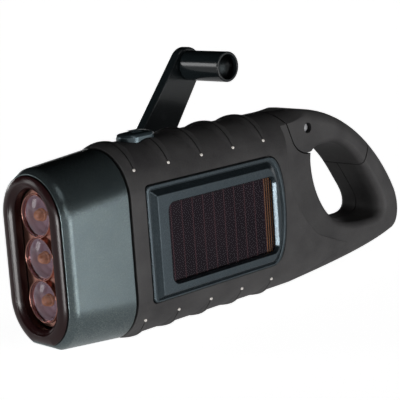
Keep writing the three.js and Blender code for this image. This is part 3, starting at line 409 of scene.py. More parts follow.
@dataclass(frozen=True)
class SolarFilm(Finish):
    """Amorphous silicon on glass: a dark red-brown film cut in strips by laser lines.

    Attributes:
        deep: Darkest colour of the film.
        line: Colour of the laser lines.
        lines_mm: X of the first laser line's middle, their pitch and their width.
        contact: Colour of the printed contact fingers.
        contacts_mm: X of the first finger's middle, their pitch and their width.
        margin_mm: How far before the first finger the fingers' zone starts.
    """

    deep: str = "#150c10"
    ramp: tuple[float, float] = (0.3, 0.72)
    cloud_mm: float = 14.0
    specular: float = 0.1
    line: str = "#4a2e2f"
    lines_mm: tuple[float, float, float] = (40.2, 4.28, 0.34)
    contact: str = "#b57f42"
    contacts_mm: tuple[float, float, float] = (79.0, 0.95, 0.14)
    margin_mm: float = 0.4

    @staticmethod
    def stripes(bench: Bench, x_mm: Socket, first: float, pitch: float, width: float) -> Socket:
        """Gives 1 on lines of a width that repeat along X.

        Args:
            bench: The material's nodes.
            x_mm: X in millimetres from the head's front.
            first: X of the first line's middle.
            pitch: Distance between lines.
            width: Width of a line.

        Returns:
            A socket that is 1 on a line and 0 between.
        """
        line = x_mm
        for operation, number in (
            ("SUBTRACT", first - width / 2),
            ("FLOORED_MODULO", pitch),
            ("LESS_THAN", width),
        ):
            line = bench.add("ShaderNodeMath", {0: line, 1: number}, operation=operation)
        return line

    def dress(self, bench: Bench) -> None:
        """Draws the laser lines and, at the tail end, the printed contact fingers.

        Args:
            bench: The material's nodes.
        """
        x = bench.add("ShaderNodeSeparateXYZ", {"Vector": bench.place})
        scaled = {0: x, 1: 1 / MM, 2: ORIGIN_X}
        x_mm = bench.add("ShaderNodeMath", scaled, operation="MULTIPLY_ADD")
        cloud = bench.add("ShaderNodeTexNoise", bench.grain(self.cloud_mm, 3))
        stops = list(zip(self.ramp, (self.deep, self.colour)))
        film = bench.add("ShaderNodeValToRGB", {"Fac": cloud}, stops=stops)
        lines = self.stripes(bench, x_mm, *self.lines_mm)
        fingers = self.stripes(bench, x_mm, *self.contacts_mm)
        start = {0: x_mm, 1: self.contacts_mm[0] - self.margin_mm}
        zone = bench.add("ShaderNodeMath", start, operation="GREATER_THAN")
        fingers = bench.add("ShaderNodeMath", {0: fingers, 1: zone}, operation="MULTIPLY")
        for mask, colour in ((lines, self.line), (fingers, self.contact)):
            paint = {0: mask, 6: film, 7: linear(colour)}
            film = bench.add("ShaderNodeMix", paint, output=2, data_type="RGBA")
        bench.set(bench.shader, {"Base Color": film, "Specular IOR Level": self.specular})


@dataclass(frozen=True)
class SpeckledPlastic(Finish):
    """Plain moulded plastic, solder mask or plating, a little uneven in tone and surface."""

    speck_mm: float = 0.6
    speck_depth_mm: float = 0.01
    spread: float = 0.12

    def dress(self, bench: Bench) -> None:
        """Varies the tone a little over the surface.

        Args:
            bench: The material's nodes.
        """
        specks = bench.add("ShaderNodeTexNoise", bench.grain(self.speck_mm, 3))
        tones = {"Value": specks, "To Min": 1 - self.spread, "To Max": 1 + self.spread}
        tint = {"Color": linear(self.colour), "Value": bench.add("ShaderNodeMapRange", tones)}
        surface = {
            "Base Color": bench.add("ShaderNodeHueSaturation", tint),
            "Normal": bench.add("ShaderNodeBump", bench.relief(specks, self.speck_depth_mm)),
        }
        bench.set(bench.shader, surface)


@dataclass(frozen=True)
class LightTable(Finish):
    """Matte white sheet lit evenly from below, so that it stays white round the object.

    Attributes:
        seen_level: Light of the sheet as the camera sees it; 1 is white.
        cast_level: Light that it casts on what stands on it.
    """

    seen_level: float = 0.95
    cast_level: float = 0.32

    def dress(self, bench: Bench) -> None:
        """Lights the sheet.

        Args:
            bench: The material's nodes.
        """
        kinds = ("Is Camera Ray", "Is Transmission Ray")
        rays = {i: bench.add("ShaderNodeLightPath", output=kind) for i, kind in enumerate(kinds)}
        seen = bench.add("ShaderNodeMath", rays, operation="MAXIMUM")
        levels = {"Value": seen, "To Min": self.cast_level, "To Max": self.seen_level}
        surface = {
            "Specular IOR Level": 0.0,
            "Emission Color": linear(WHITE),
            "Emission Strength": bench.add("ShaderNodeMapRange", levels),
        }
        bench.set(bench.shader, surface)


class Slot(Enum):
    """Material slots of the record."""

    RUBBERISED_SHELL = "rubberised_shell"
    GUNMETAL_PAINT = "gunmetal_paint"
    GLOSS_BLACK = "gloss_black"
    BEZEL_BLACK = "bezel_black"
    REFLECTOR = "reflector"
    LENS = "lens"
    LED = "led"
    SOLAR_CELL = "solar_cell"
    CELL_COVER = "cell_cover"
    CIRCUIT_BOARD = "circuit_board"
    STEEL = "steel"
    COPPER = "copper"
    GEAR_PLASTIC = "gear_plastic"
    SEAL_RUBBER = "seal_rubber"


class Extra(Enum):
    """Finishes beside a slot's main one, for pieces that are listed under that slot."""

    WORN_RUBBER = "worn_rubber"
    SILVERED_CUP = "silvered_cup"
    BLACK_OXIDE = "black_oxide"
    FRAME_LACQUER = "frame_lacquer"
    BLUE_BLACK = "blue_black"


EXTRAS: dict[Extra, tuple[Slot, Finish]] = {
    # Pips rubbed smooth by hands; their pale colour is a painted highlight.
    Extra.WORN_RUBBER: (
        Slot.RUBBERISED_SHELL,
        PolishedAbs("rubber_pips_worn_smooth_painted_highlight", "#cfcac4", 0.18),
    ),
    # Aluminium vapour on lacquer: a bright, slightly soft mirror.
    Extra.SILVERED_CUP: (Slot.REFLECTOR, PolishedAbs("aluminised_cup", "#cdbabb", 0.22, 0.6)),
    # Blue-black pigment in a polished tool: a deep cool gloss.
    Extra.BLUE_BLACK: (
        Slot.GLOSS_BLACK,
        PolishedAbs("blue_black_abs_polished", "#56646a", 0.2, 0.7, coat=0.6),
    ),
    # Oxidised and oiled steel: dark with a soft metal shine.
    Extra.BLACK_OXIDE: (Slot.STEEL, PolishedAbs("black_oxide_steel", "#1b1e1f", 0.3, 1.0)),
    # The shroud's lacquer, painted darker on the frame as painted shade.
    Extra.FRAME_LACQUER: (
        Slot.GUNMETAL_PAINT,
        FlakePaint(
            "gunmetal_lacquer_painted_darker", "#3c474d", 0.22, 0.85, dark="#323c42", light="#4f5a5f"
        ),
    ),
}


FINISHES: dict[Slot, Finish] = {
    # Moulded over the shells: nearly no shine, so that the form reads by its soft shading.
    Slot.RUBBERISED_SHELL: SoftTouchRubber("soft_touch_rubber_moulded", "#3e3c3b", 0.5),
    # Sprayed and clear coated: a grey-green metal with sparkle.
    Slot.GUNMETAL_PAINT: FlakePaint("gunmetal_flake_lacquer", "#616d70", 0.25, 0.85),
    # Black pigment in a polished tool: a deep neutral gloss.
    Slot.GLOSS_BLACK: PolishedAbs("black_abs_polished", "#13181a", 0.2),
    # Black with a brown cast, a weaker gloss and softer edges.
    Slot.BEZEL_BLACK: PolishedAbs(
        "brown_black_abs_polished", "#1e0d0e", 0.22, edge_mm=0.4, shine=0.3, coat=0.1
    ),
    # Vapour metallised and tinted: a copper-pink mirror.
    Slot.REFLECTOR: PolishedAbs("metallised_abs", "#c99384", 0.2, 1.0),
    # Moulded clear: only its highlights and rim are seen.
    Slot.LENS: ClearSheet("acrylic_lens", "#f2f0f6", 0.08, edge_mm=0.15),
    # Cast over the chip: a warm glossy bead.
    Slot.LED: Epoxy("diode_epoxy", "#b07f5e", 0.12),
    # Vapour deposited on glass: near black, with thin paler lines.
    Slot.SOLAR_CELL: SolarFilm("amorphous_silicon_film", "#23161a", 0.4),
    # Index matched to the weak mirror of the real sheet, which is coated.
    Slot.CELL_COVER: ClearSheet("acrylic_sheet", "#f2f2f6", 0.06, ior=1.12, edge_mm=0.1),
    # Printed and cured lacquer: green with a faint shine.
    Slot.CIRCUIT_BOARD: SpeckledPlastic("green_solder_mask", "#1f5a3a", 0.45),
    # Electroplated: a bright metal with a faint cloudiness.
    Slot.STEEL: SpeckledPlastic("nickel_plated_steel", "#b4b6b8", 0.3, 1.0, spread=0.06),
    # Clear enamel over drawn wire: warm and half bright.
    Slot.COPPER: SpeckledPlastic("enamelled_copper_winding", "#a8622f", 0.35, 0.9),
    # Without pigment: milky and half matt.
    Slot.GEAR_PLASTIC: SpeckledPlastic("natural_nylon_moulded", "#e2ddd0", 0.5, spread=0.05),
    # Pressed and cured: a dull, even black.
    Slot.SEAL_RUBBER: SpeckledPlastic("black_nitrile_rubber", "#151515", 0.75),
}


def arc(x: float, z: float, radius: float, start: float, end: float, steps: int = 24) -> Outline:
    """Draws an arc with both ends; angles are in degrees."""
    angles = np.radians(np.linspace(start, end, steps + 1))
    return np.column_stack([x + radius * np.cos(angles), z + radius * np.sin(angles)])


def curve_chain(points: Points, steps: int = 24) -> Outline:
    """Draws a chain of cubic curves.

    Args:
        points: The first point, then three points for each curve.
        steps: Steps in each curve.

    Returns:
        The outline with both ends.
    """
    given = np.asarray(points, float)
    out = [given[:1]]
    t = np.linspace(0, 1, steps + 1)[1:, None]
    for i in range(0, len(given) - 3, 3):
        p0, p1, p2, p3 = given[i : i + 4]
        s = 1 - t
        out.append(s**3 * p0 + 3 * t * s**2 * p1 + 3 * t**2 * s * p2 + t**3 * p3)
    return np.vstack(out)


def inwards(outline: Outline, distance: float) -> Outline:
    """Moves an outline that runs anticlockwise inwards, corner by corner.

    Args:
        outline: The outline.
        distance: How far each side moves.

    Returns:
        The moved outline.
    """
    before, after = np.roll(outline, 1, axis=0), np.roll(outline, -1, axis=0)
    into, out = outline - before, after - outline
    first = np.column_stack([-into[:, 1], into[:, 0]])
    second = np.column_stack([-out[:, 1], out[:, 0]])
    first /= np.linalg.norm(first, axis=1, keepdims=True)
    second /= np.linalg.norm(second, axis=1, keepdims=True)
    middle = first + second
    middle /= np.linalg.norm(middle, axis=1, keepdims=True)
    reach = distance / np.sum(middle * first, axis=1, keepdims=True)
    return outline + middle * reach


def round_over(radius: float, start: float, end: float, steps: int) -> list[tuple[float, float]]:
    """Gives (depth, inset) along a rounded rim between two angles in degrees, from its face."""
    angles = np.radians(np.linspace(start, end, steps + 1))
    return [(radius * (1 - math.cos(a)), radius * (1 - math.sin(a))) for a in angles]


def softened(points: Points, radius: float, steps: int) -> Outline:
    """Rounds the corners of a drawn line between its two ends.

    Args:
        points: Its ends and corners.
        radius: How far along each side a corner's round starts, at most.
        steps: Steps in each round.

    Returns:
        The line with rounded corners.
    """
    given = np.asarray(points, float)
    out = [given[0]]
    for before, corner, after in zip(given, given[1:], given[2:]):
        back, ahead = before - corner, after - corner
        near, far = np.linalg.norm(back), np.linalg.norm(ahead)
        reach = min(radius, near * ROUND_SHARE, far * ROUND_SHARE)
        start, end = corner + back / near * reach, corner + ahead / far * reach
        for t in np.linspace(0, 1, steps + 1):
            out.append((1 - t) ** 2 * start + 2 * t * (1 - t) * corner + t**2 * end)
    return np.array([*out, given[-1]])


class Across(Enum):
    """The axis that a drawn outline stands across, with the order of its columns."""

    X = (2, 0, 1)
    Y = (0, 2, 1)
    Z = (0, 1, 2)

    def ring(self, outline: Outline, along: float) -> np.ndarray:
        """Places an outline at one place along the axis."""
        columns = np.column_stack([outline, np.full(len(outline), along)])
        return columns[:, self.value]


class Combine(Enum):
    """Ways to combine two solids."""

    JOIN = "UNION"
    CUT = "DIFFERENCE"
    COMMON = "INTERSECT"


@dataclass
class Solid:
    """A closed mesh object in millimetres that can be joined, cut and dressed.

    Attributes:
        body: The Blender object that holds the mesh.
    """

    body: bpy.types.Object

    @classmethod
    def of(cls, points: np.ndarray, faces: Sequence[Sequence[int]]) -> Solid:
        """Makes a solid from points and faces, its faces turned outwards.

        Args:
            points: Points in millimetres.
            faces: Corner numbers of each face.

        Returns:
            The solid.
        """
        mesh = bpy.data.meshes.new("solid")
        mesh.from_pydata([tuple(map(float, p)) for p in points], [], [tuple(f) for f in faces])
        work = bmesh.new()
        work.from_mesh(mesh)
        bmesh.ops.remove_doubles(work, verts=work.verts, dist=MERGE_MM)
        bmesh.ops.recalc_face_normals(work, faces=work.faces)
        work.to_mesh(mesh)
        work.free()
        body = bpy.data.objects.new("solid", mesh)
        bpy.context.scene.collection.objects.link(body)
        return cls(body)

    @classmethod
    def skin(cls, rings: Sequence[np.ndarray]) -> Solid:
        """Stretches a skin over rings of the same number of points and caps both ends.

        Args:
            rings: The rings in order.

        Returns:
            The solid.
        """
        count, faces = len(rings[0]), []
        last = (len(rings) - 1) * count
        for low in range(0, last, count):
            for i in range(low, low + count):
                j = low + (i + 1 - low) % count
                faces.append((i, j, j + count, i + count))
        faces += [range(count), range(last, last + count)]
        return cls.of(np.vstack(rings), faces)

    @classmethod
    def slab(cls, outline: Outline, low: float, high: float, across: Across = Across.Y) -> Solid:
        """Makes a plate with straight sides between two places along an axis."""
        return cls.skin([across.ring(outline, low), across.ring(outline, high)])

    @classmethod
    def block(cls, low: Sequence[float], high: Sequence[float]) -> Solid:
        """Makes a box, for cutting.

        Args:
            low: Its corner with the lowest X, Y and Z.
            high: Its corner with the highest ones.

        Returns:
            The box.
        """
        (x, y, z), (far_x, far_y, far_z) = low, high
        face = np.array([[x, z], [far_x, z], [far_x, far_z], [x, far_z]])
        return cls.slab(face, y, far_y)

    @classmethod
    def turned(
        cls, profile: Points, a: float, b: float, across: Across = Across.Y, steps: int = 96
    ) -> Solid:
        """Turns a profile about an axis.

        Args:
            profile: Points of (radius, place along the axis), closed if it starts off the axis.
            a: Where the axis stands, first column.
            b: Where the axis stands, second column.
            across: Direction of the axis.
            steps: Steps in a full turn.

        Returns:
            The solid.
        """
        rows: list[list[int]] = []
        points: list[np.ndarray] = []
        total = 0
        for radius, along in profile:
            count = steps if radius > MERGE_MM else 1
            ring = arc(a, b, radius, 0, 360, steps)[:count]
            points.append(across.ring(ring, along))
            rows.append(list(range(total, total + count)))
            total += count
        pairs = list(zip(rows, rows[1:]))
        if len(rows[0]) > 1:
            pairs.append((rows[-1], rows[0]))
        faces = []
        for low, high in pairs:
            for i in range(steps):
                j = (i + 1) % steps
                near, far = (i % len(low), j % len(low)), (j % len(high), i % len(high))
                face = list(dict.fromkeys([*(low[k] for k in near), *(high[k] for k in far)]))
                if len(face) > 2:
                    faces.append(face)
        return cls.of(np.vstack(points), faces)

    @classmethod
    def bar(
        cls, radius: float, low: float, high: float, at: Sequence[float], steps: int = 64
    ) -> Solid:
        """Makes a round bar along Y between two places; at is its X and Z."""
        profile = [(0, low), (radius, low), (radius, high), (0, high)]
        return cls.turned(profile, *at, steps=steps)

    @classmethod
    def ball(
        cls, radius: float, a: float, b: float, across: Across, rows: int, steps: int
    ) -> Solid:
        """Makes a ball at 0 along an axis, and at a and b in the other two columns.

        Args:
            radius: Its radius.
            a: Its place in the first column.
            b: Its place in the second column.
            across: The axis that its poles lie on; along it, the ball is at 0.
            rows: Steps from pole to pole.
            steps: Steps in a full turn.

        Returns:
            The ball.
        """
        turn = np.linspace(0, math.pi, rows + 1)
        profile = [(radius * math.sin(t), -radius * math.cos(t)) for t in turn]
        return cls.turned(profile, a, b, across, steps)

    def combine(self, way: Combine, others: Sequence[Solid]) -> Solid:
        """Combines this solid with others, which are used up.

        Args:
            way: How they are combined.
            others: The other solids.

        Returns:
            This solid.
        """
        for other in others:
            step = self.body.modifiers.new("combine", "BOOLEAN")
            step.operation, step.solver, step.object = way.value, "MANIFOLD", other.body
        self.settle()
        for other in others:
            other.drop()
        return self

    def join(self, *others: Solid) -> Solid:
        """Joins others to this solid."""
        return self.combine(Combine.JOIN, others)

    def cut(self, *others: Solid) -> Solid:
        """Cuts others out of this solid."""
        return self.combine(Combine.CUT, others)

    def common(self, other: Solid) -> Solid:
        """Keeps what this solid shares with another."""
        return self.combine(Combine.COMMON, [other])

    def copy(self) -> Solid:
        """Copies the solid.

        Returns:
            The copy.
        """
        body = self.body.copy()
        body.data = self.body.data.copy()
        bpy.context.scene.collection.objects.link(body)
        return Solid(body)

    def drop(self) -> None:
        """Takes the solid out of the scene."""
        mesh = self.body.data
        bpy.data.objects.remove(self.body)
        bpy.data.meshes.remove(mesh)

    def settle(self) -> None:
        """Applies the modifiers to the mesh."""
        graph = bpy.context.evaluated_depsgraph_get()
        made = bpy.data.meshes.new_from_object(self.body.evaluated_get(graph))
        old = self.body.data
        self.body.modifiers.clear()
        self.body.data = made
        bpy.data.meshes.remove(old)

    def turn(self, matrix: Matrix) -> Solid:
        """Moves the solid's points by a matrix."""
        self.body.data.transform(matrix)
        return self


@dataclass
class Dresser:
    """Turns solids to finished pieces and counts them.

    Attributes:
        materials: Blender material of each slot.
        pieces: Names of the pieces made so far.
    """

    materials: dict[Slot | Extra, bpy.types.Material] = field(default_factory=dict)
    pieces: list[str] = field(default_factory=list)

    def __post_init__(self) -> None:
        """Builds the materials."""
        self.materials = {slot: finish.build() for slot, finish in FINISHES.items()}
        self.materials |= {extra: finish.build() for extra, (_, finish) in EXTRAS.items()}

    def piece(
        self,
        name: str,
        solid: Solid,
        slot: Slot | Extra,
        body: str = "torch",
        replaces: Sequence[str] = (),
    ) -> None:
        """Finishes a solid as a piece that rides on a body.

        Args:
            name: Name of the piece.
            solid: The solid, in millimetres.
            slot: Material slot, or an extra finish of one.
            body: Body that it rides on.
            replaces: CAD nodes that it stands for.
        """
        made = solid.body
        made.name = made.data.name = name
        made.data.transform(Matrix.Scale(MM, 4) @ Matrix.Translation((-ORIGIN_X, 0, 0)))
        made.data.polygons.foreach_set("use_smooth", [True] * len(made.data.polygons))
        made.data.set_sharp_from_angle(angle=math.radians(SMOOTH_DEG))
        made.data.materials.clear()
        made.data.materials.append(self.materials[slot])
        even = made.modifiers.new("even_normals", "WEIGHTED_NORMAL")
        even.keep_sharp = True
        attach(made, body)
        if replaces:
            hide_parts(*replaces)
        self.pieces.append(name)
        LOG.info("%s: %d faces, %s, rides on %s", name, len(made.data.polygons), slot.value, body)

    def keep(self, nodes: Nodes, name: str, slot: Slot) -> None:
        """Gives a CAD node that stays its material.

        Args:
            nodes: The CAD nodes by name.
            name: Name of the node.
            slot: Its material slot.
        """
        node = nodes[name]
        if not node.material_slots:
            raise RuntimeError(f"{name} has no material slot")
        for place in node.material_slots:
            place.link = "OBJECT"
            place.material = self.materials[slot]
        LOG.info("%s: kept as CAD made it, %s", name, slot.value)


@dataclass(frozen=True)
class Grip:
    """Sizes that more than one sub-assembly shares, in millimetres.

    Attributes:
        half_thickness: Half the body's thickness, and the radius of its narrow edges.
        foot_depth: How much the foot flattens the lower edge.
        gap: Room between pieces.
        head_rise: How much lower than the body the head is, at its front and its rear.
        tail_curve_x: X where the tail's drawn outline starts.
        parting_y: Y where the shells part.
        past: How far a cutter reaches past what it cuts.
    """

    height: float = 55
    half_thickness: float = 14
    foot_depth: float = 1
    wall: float = 1.8
    gap: float = 0.3
    body_start: float = 25
    head_rise: tuple[float, float] = (2.6, 0.3)
    tail_half: float = 9.5
    tail_curve_x: float = 88
    tail_length: float = 62.5
    parting_y: float = 2
    crank_x: float = 63.7
    crank_z: float = 27.5
    past: float = 1.5

    @property
    def tail_tip_x(self) -> float:
        """X of the tail's end."""
        return self.tail_curve_x + self.tail_length

    def section(self, bottom: float, top: float, inset: float = 0, steps: int = 28) -> Outline:
        """Draws the body's cross-section in Y and Z: a tall slot with a flat foot.

        Args:
            bottom: Lowest Z.
            top: Highest Z.
            inset: How far the whole outline is drawn in.
            steps: Steps in a quarter turn.

        Returns:
            The outline.
        """
        radius = self.half_thickness - inset
        lower = bottom - self.foot_depth + self.half_thickness
        foot = math.degrees(math.acos((radius - self.foot_depth) / radius))
        right = arc(0, lower, radius, foot - 90, 0, steps)
        over = arc(0, top - self.half_thickness, radius, 0, 180, 2 * steps)
        return np.vstack([right, over, arc(0, lower, radius, 180, 270 - foot, steps)])

    def loft(self, stations: Points) -> Solid:
        """Lofts a solid along X through sections given as (x, bottom, top, inset)."""
        return Solid.skin([Across.X.ring(self.section(*s[1:]), s[0]) for s in stations])

    def head_station(self, x: float, inset: float) -> tuple[float, float, float, float]:
        """Gives the head's section at X: it gets a little lower towards the front.

        Args:
            x: Place along X.
            inset: How far the section is drawn in.

        Returns:
            A station for `loft`.
        """
        front, rear = self.head_rise
        rise = front + (rear - front) * x / self.body_start
        return (x, rise, self.height - rise, inset)


@dataclass(frozen=True)
class Housing:
    """Rubberised housing: two shells, the carabiner tail and its gate.

    Attributes:
        wide: Half the width of a cutter that is wider than the part.
        taper: X where the thick body starts to thin out, and where it has the tail's thickness.
        taper_blend: How far before and after its start the taper blends in.
        front_edge: (x, inset) of the body's rounded front edge.
        root_blend: X between which the tail plate frees itself from the body.
        root_room: Room that it leaves to its own outline behind that.
        hole_inset: How far the hole's drawn outline lies inside the hole's widest rim.
        scoop: X, Z and radius of the scooped end of the thick body.
        scoop_exit: X and Z where its edge leaves through the underside.
        rib_size: Half the length, depth and height of a rib's swelling.
        rib_line: Width and depth of the line over a rib.
        line_power: How late the line's depth fades towards its ends; line_least is left there.
        pip_y: How far from the parting plane the pips sit.
        pivot: X and Z of the gate's pin.
        knuckle: Radius of the gate's end round the pin.
        lean: How far before the pin the gate's edge meets the top.
        fork_mouth: X before and behind the pin, and depth, of the mouth between the gate's cheeks.
        fork: Radius and half the width of the eye between the cheeks.
        pocket_y: Y of the seat of the panel's frame.
        shelf: Two corners of the shelf for the switch's board.
        collar: (x, inset) of the flange, of the collar and of its bore.
        button_well: How far under and over the top the button's opening is cut.
        screw_hole: Radius of the shank's hole, and Y of its end.
        screw_well: Radius and depth under the head of the head's hole, and Y of its mouth.
        tail_shares: The tail's outline, in shares of its length and of the body's height.
        hole_shares: The carabiner hole's outline, in the same shares.
    """

    grip: Grip
    wide: float = 30
    taper: tuple[float, float] = (96, 126)
    taper_drop: float = 1.5
    taper_blend: float = 7
    front_edge: Points = ((0, 0.5), (0.14, 0.2), (0.5, 0))
    hollow_end: float = 108
    tail_root_x: float = 70
    tail_rounding: float = 4
    root_blend: tuple[float, float] = (92, 112)
    root_room: float = 1.4
    hole_inset: float = 0.9
    hole_rounding: float = 2.4
    scoop: tuple[float, float, float] = (120, 40.5, 30.5)
    scoop_end_deg: float = 239
    scoop_exit: tuple[float, float] = (126, 6)
    rib_count: int = 5
    rib_pitch: float = 13.1
    first_rib_x: float = 28.7
    rib_size: tuple[float, float, float] = (10.5, 13.7, 14.9)
    rib_line: tuple[float, float] = (0.34, 0.3)
    line_reach: float = 2
    line_power: int = 6
    line_least: float = 0.01
    pip_radius: float = 0.48
    pip_y: float = 11.8
    pivot: tuple[float, float] = (104.2, 48.8)
    knuckle: float = 7.8
    knuckle_deg: tuple[float, float] = (200, 300)
    gate_reach: float = 31
    nose_deg: tuple[float, float] = (-36, 4)
    seam: float = 0.4
    lean: float = 11.7
    swing_reach: float = 10.4
    swing_deg: tuple[float, float] = (276, 335)
    fork_mouth: tuple[float, float, float] = (3.8, 4.1, 55)
    fork: tuple[float, float] = (4.1, 5.5)
    tongue_deg: float = 232
    tongue_width: float = 3.2
    tongue_radius: float = 3.8
    tongue_half: float = 4
    pin_radius: float = 1.5
    clearance: float = 0.15
    plinth_radius: float = 23.5
    plinth_y: float = 3.5
    dome_opening: float = 20.9
    pocket_y: float = -12.3
    pocket_floor: float = 1.5
    shelf: Points = ((34.1, -30, 42.2), (46.7, 1.2, 44))
    collar: Points = ((25, 0.9), (26.5, 0.9), (13.9, 1.9), (26.5, 1.9), (12.4, 3.4), (28, 3.4))
    button_well: tuple[float, float] = (3.6, 3)
    boss_radius: float = 3.2
    boss_low: float = 10.1
    tail_screw: tuple[float, float] = (144.3, 10.5)
    screw_seat: float = 1.7
    screw_hole: tuple[float, float] = (1.5, -6.3)
    screw_well: tuple[float, float, float] = (2.6, 1.9, 16)
    tail_shares: Points = (
        (0, 0), (0.32, 0.029), (0.704, 0.055), (0.928, 0.133),
        (0.986, 0.153), (1.021, 0.264), (0.968, 0.4),
        (0.864, 0.636), (0.592, 1.009), (0.128, 1),
    )  # fmt: skip
    hole_shares: Points = (
        (0.275, 0.691), (0.275, 0.564), (0.32, 0.427), (0.4, 0.336),
        (0.464, 0.253), (0.592, 0.233), (0.736, 0.233),
        (0.856, 0.233), (0.869, 0.315), (0.797, 0.431),
        (0.725, 0.547), (0.616, 0.773), (0.429, 0.782),
        (0.336, 0.787), (0.275, 0.773), (0.275, 0.691),
    )  # fmt: skip

    def between(
        self,
        x: tuple[float, float],
        y: tuple[float, float] | None = None,
        high: float | None = None,
    ) -> Solid:
        """Makes a box between two X; its Y and its top reach past the part if they aren't given.

        Args:
            x: The two X.
            y: The two Y; past the part if left out.
            high: Z of the top; past the part if left out.

        Returns:
            The box.
        """
        low_y, high_y = y or (-self.wide, self.wide)
        top = 2 * self.grip.height if high is None else high
        return Solid.block((x[0], low_y, -self.wide), (x[1], high_y, top))

    def thick_body(self, start: float, inset: float) -> Solid:
        """Makes the thick part of the body, which thins out softly to the tail's thickness.

        Args:
            start: X of its front.
            inset: How far its section is drawn in.

        Returns:
            The solid.
        """
        g, blend = self.grip, self.taper_blend
        taper_x, taper_end_x = self.taper
        stations = [(start + x, 0, g.height, inset + edge) for x, edge in self.front_edge]
        for x in np.linspace(taper_x - blend, taper_end_x, num=24):
            past = x - taper_x
            if past < blend:
                past = (past + blend) ** 2 / (4 * blend)
            share = past / (taper_end_x - taper_x)
            thin = (g.half_thickness - g.tail_half) * share
            stations.append((x, -self.taper_drop * share, g.height, inset + thin))
        return g.loft(stations)

    def shares(self, shares: Points) -> Outline:
        """Draws an outline given in shares of the tail's length and the body's height."""
        g = self.grip
        return curve_chain([(g.tail_curve_x + s * g.tail_length, t * g.height) for s, t in shares])

    def pillow(self, outline: Outline, levels: Points) -> Solid:
        """Makes a plate across Y whose outline draws in level by level, given as (y, inset)."""
        return Solid.skin([Across.Y.ring(inwards(outline, inset), y) for y, inset in levels])

    def rounded_levels(self, rounding: float) -> list[tuple[float, float]]:
        """Gives the levels of the tail with rounded rims, from one face to the other.

        Args:
            rounding: Radius of the rims.

        Returns:
            (y, inset) of each level.
        """
        half = self.grip.tail_half
        side = [(half - depth, inset) for depth, inset in round_over(rounding, 0, 90, steps=9)]
        return side + [(-y, inset) for y, inset in reversed(side)]

    def tail_plate(self) -> Solid:
        """Makes the tail plate with the carabiner hole, rounded on every rim.

        Returns:
            The solid.
        """
        g, room = self.grip, self.root_room
        root = [(self.tail_root_x, g.height), (self.tail_root_x, 0)]
        outline = np.vstack([self.shares(self.tail_shares), root])
        plate = self.pillow(outline, self.rounded_levels(self.tail_rounding))
        rims = self.rounded_levels(self.hole_rounding)
        flare = [(y, self.hole_inset - inset) for y, inset in rims]
        outer, inset = flare[0]
        levels = [(outer + g.past, inset), *flare, (-outer - g.past, inset)]
        plate.cut(self.pillow(self.shares(self.hole_shares)[:-1], levels))
        start, end = self.root_blend
        spread = [(self.tail_root_x - g.past, 0, g.height, 0)]
        for s in np.linspace(0, 1, num=13):
            spread.append((start + (end - start) * s, 0, g.height, -room * s**2 * (3 - 2 * s)))
        spread.append((g.tail_tip_x + g.past, 0, g.height, -room))
        return plate.common(g.loft(spread))

    def behind_scoop(self, grow: float = 0) -> Solid:
        """Makes the cutter for what lies behind the scooped end of the thick body.

        Args:
            grow: How much more it cuts.

        Returns:
            The solid.
        """
        g, (x, z, radius) = self.grip, self.scoop
        radius += grow
        top = g.height + g.past + grow
        upper = 180 - math.degrees(math.asin((top - z) / radius))
        rim = arc(x, z, radius, upper, self.scoop_end_deg, steps=72)
        end = g.tail_tip_x + g.past
        exit_x, exit_z = self.scoop_exit
        outline = np.vstack([rim, [(exit_x, exit_z - grow), (end, exit_z - grow), (end, top)]])
        return Solid.slab(outline, -self.wide, self.wide)

    def rib_places(self) -> list[tuple[float, float, int]]:
        """Gives (x, z, side) of each rib's middle.

        Returns:
            Two places for each rib, side 1 on top and side -1 below.
        """
        g = self.grip
        xs = [self.first_rib_x + i * self.rib_pitch for i in range(self.rib_count)]
        ends = [(g.height - g.half_thickness, 1), (g.half_thickness - g.foot_depth, -1)]
        return [(x, z, side) for x in xs for z, side in ends]

    def ribs(self) -> list[Solid]:
        """Makes the grip ribs, long low swellings over both narrow edges.

        Returns:
            The ribs.
        """
        made = []
        size = Matrix.Diagonal((*self.rib_size, 1))
        for x, z, side in self.rib_places():
            ball = Solid.ball(1, 0, 0, Across.X, 64, 128).turn(Matrix.Translation((x, 0, z)) @ size)
            if side < 0:
                ball.cut(self.between((-self.wide, self.grip.tail_tip_x), high=0))
            made.append(ball)
        return made

    def rib_lines(self) -> list[Solid]:
        """Makes the cutters of the fine moulded lines over each rib's crest, down to its pip.

        Returns:
            The cutters.
        """
        _, reach, rise = self.rib_size
        width, depth = self.rib_line
        end = math.degrees(math.asin(self.pip_y / reach))
        deep = depth * np.sqrt(np.clip(1 - np.abs(np.linspace(-1, 1, 65)) ** self.line_power, 0, 1))
        deep += self.line_least
        made = []
        for x, z, side in self.rib_places():
            angles = np.radians(np.linspace(90 - end, 90 + end, 65) * side)
            inner, outer = (
                np.column_stack([(reach + out) * np.cos(angles), z + (rise + out) * np.sin(angles)])
                for out in (-deep, self.line_reach)
            )
            outline = np.vstack([inner, outer[::-1]])
            made.append(Solid.slab(outline, x - width / 2, x + width / 2, Across.X))
        return made

    def pips(self) -> list[Solid]:
        """Makes the small pips at the ribs' tips on the panel's side.

        Returns:
            The pips.
        """
        drop = math.sqrt(self.grip.half_thickness**2 - self.pip_y**2)
        return [
            Solid.ball(self.pip_radius, x, z + side * drop, Across.Y, rows=16, steps=32).turn(
                Matrix.Translation((0, -self.pip_y, 0))
            )
            for x, z, side in self.rib_places()
        ]

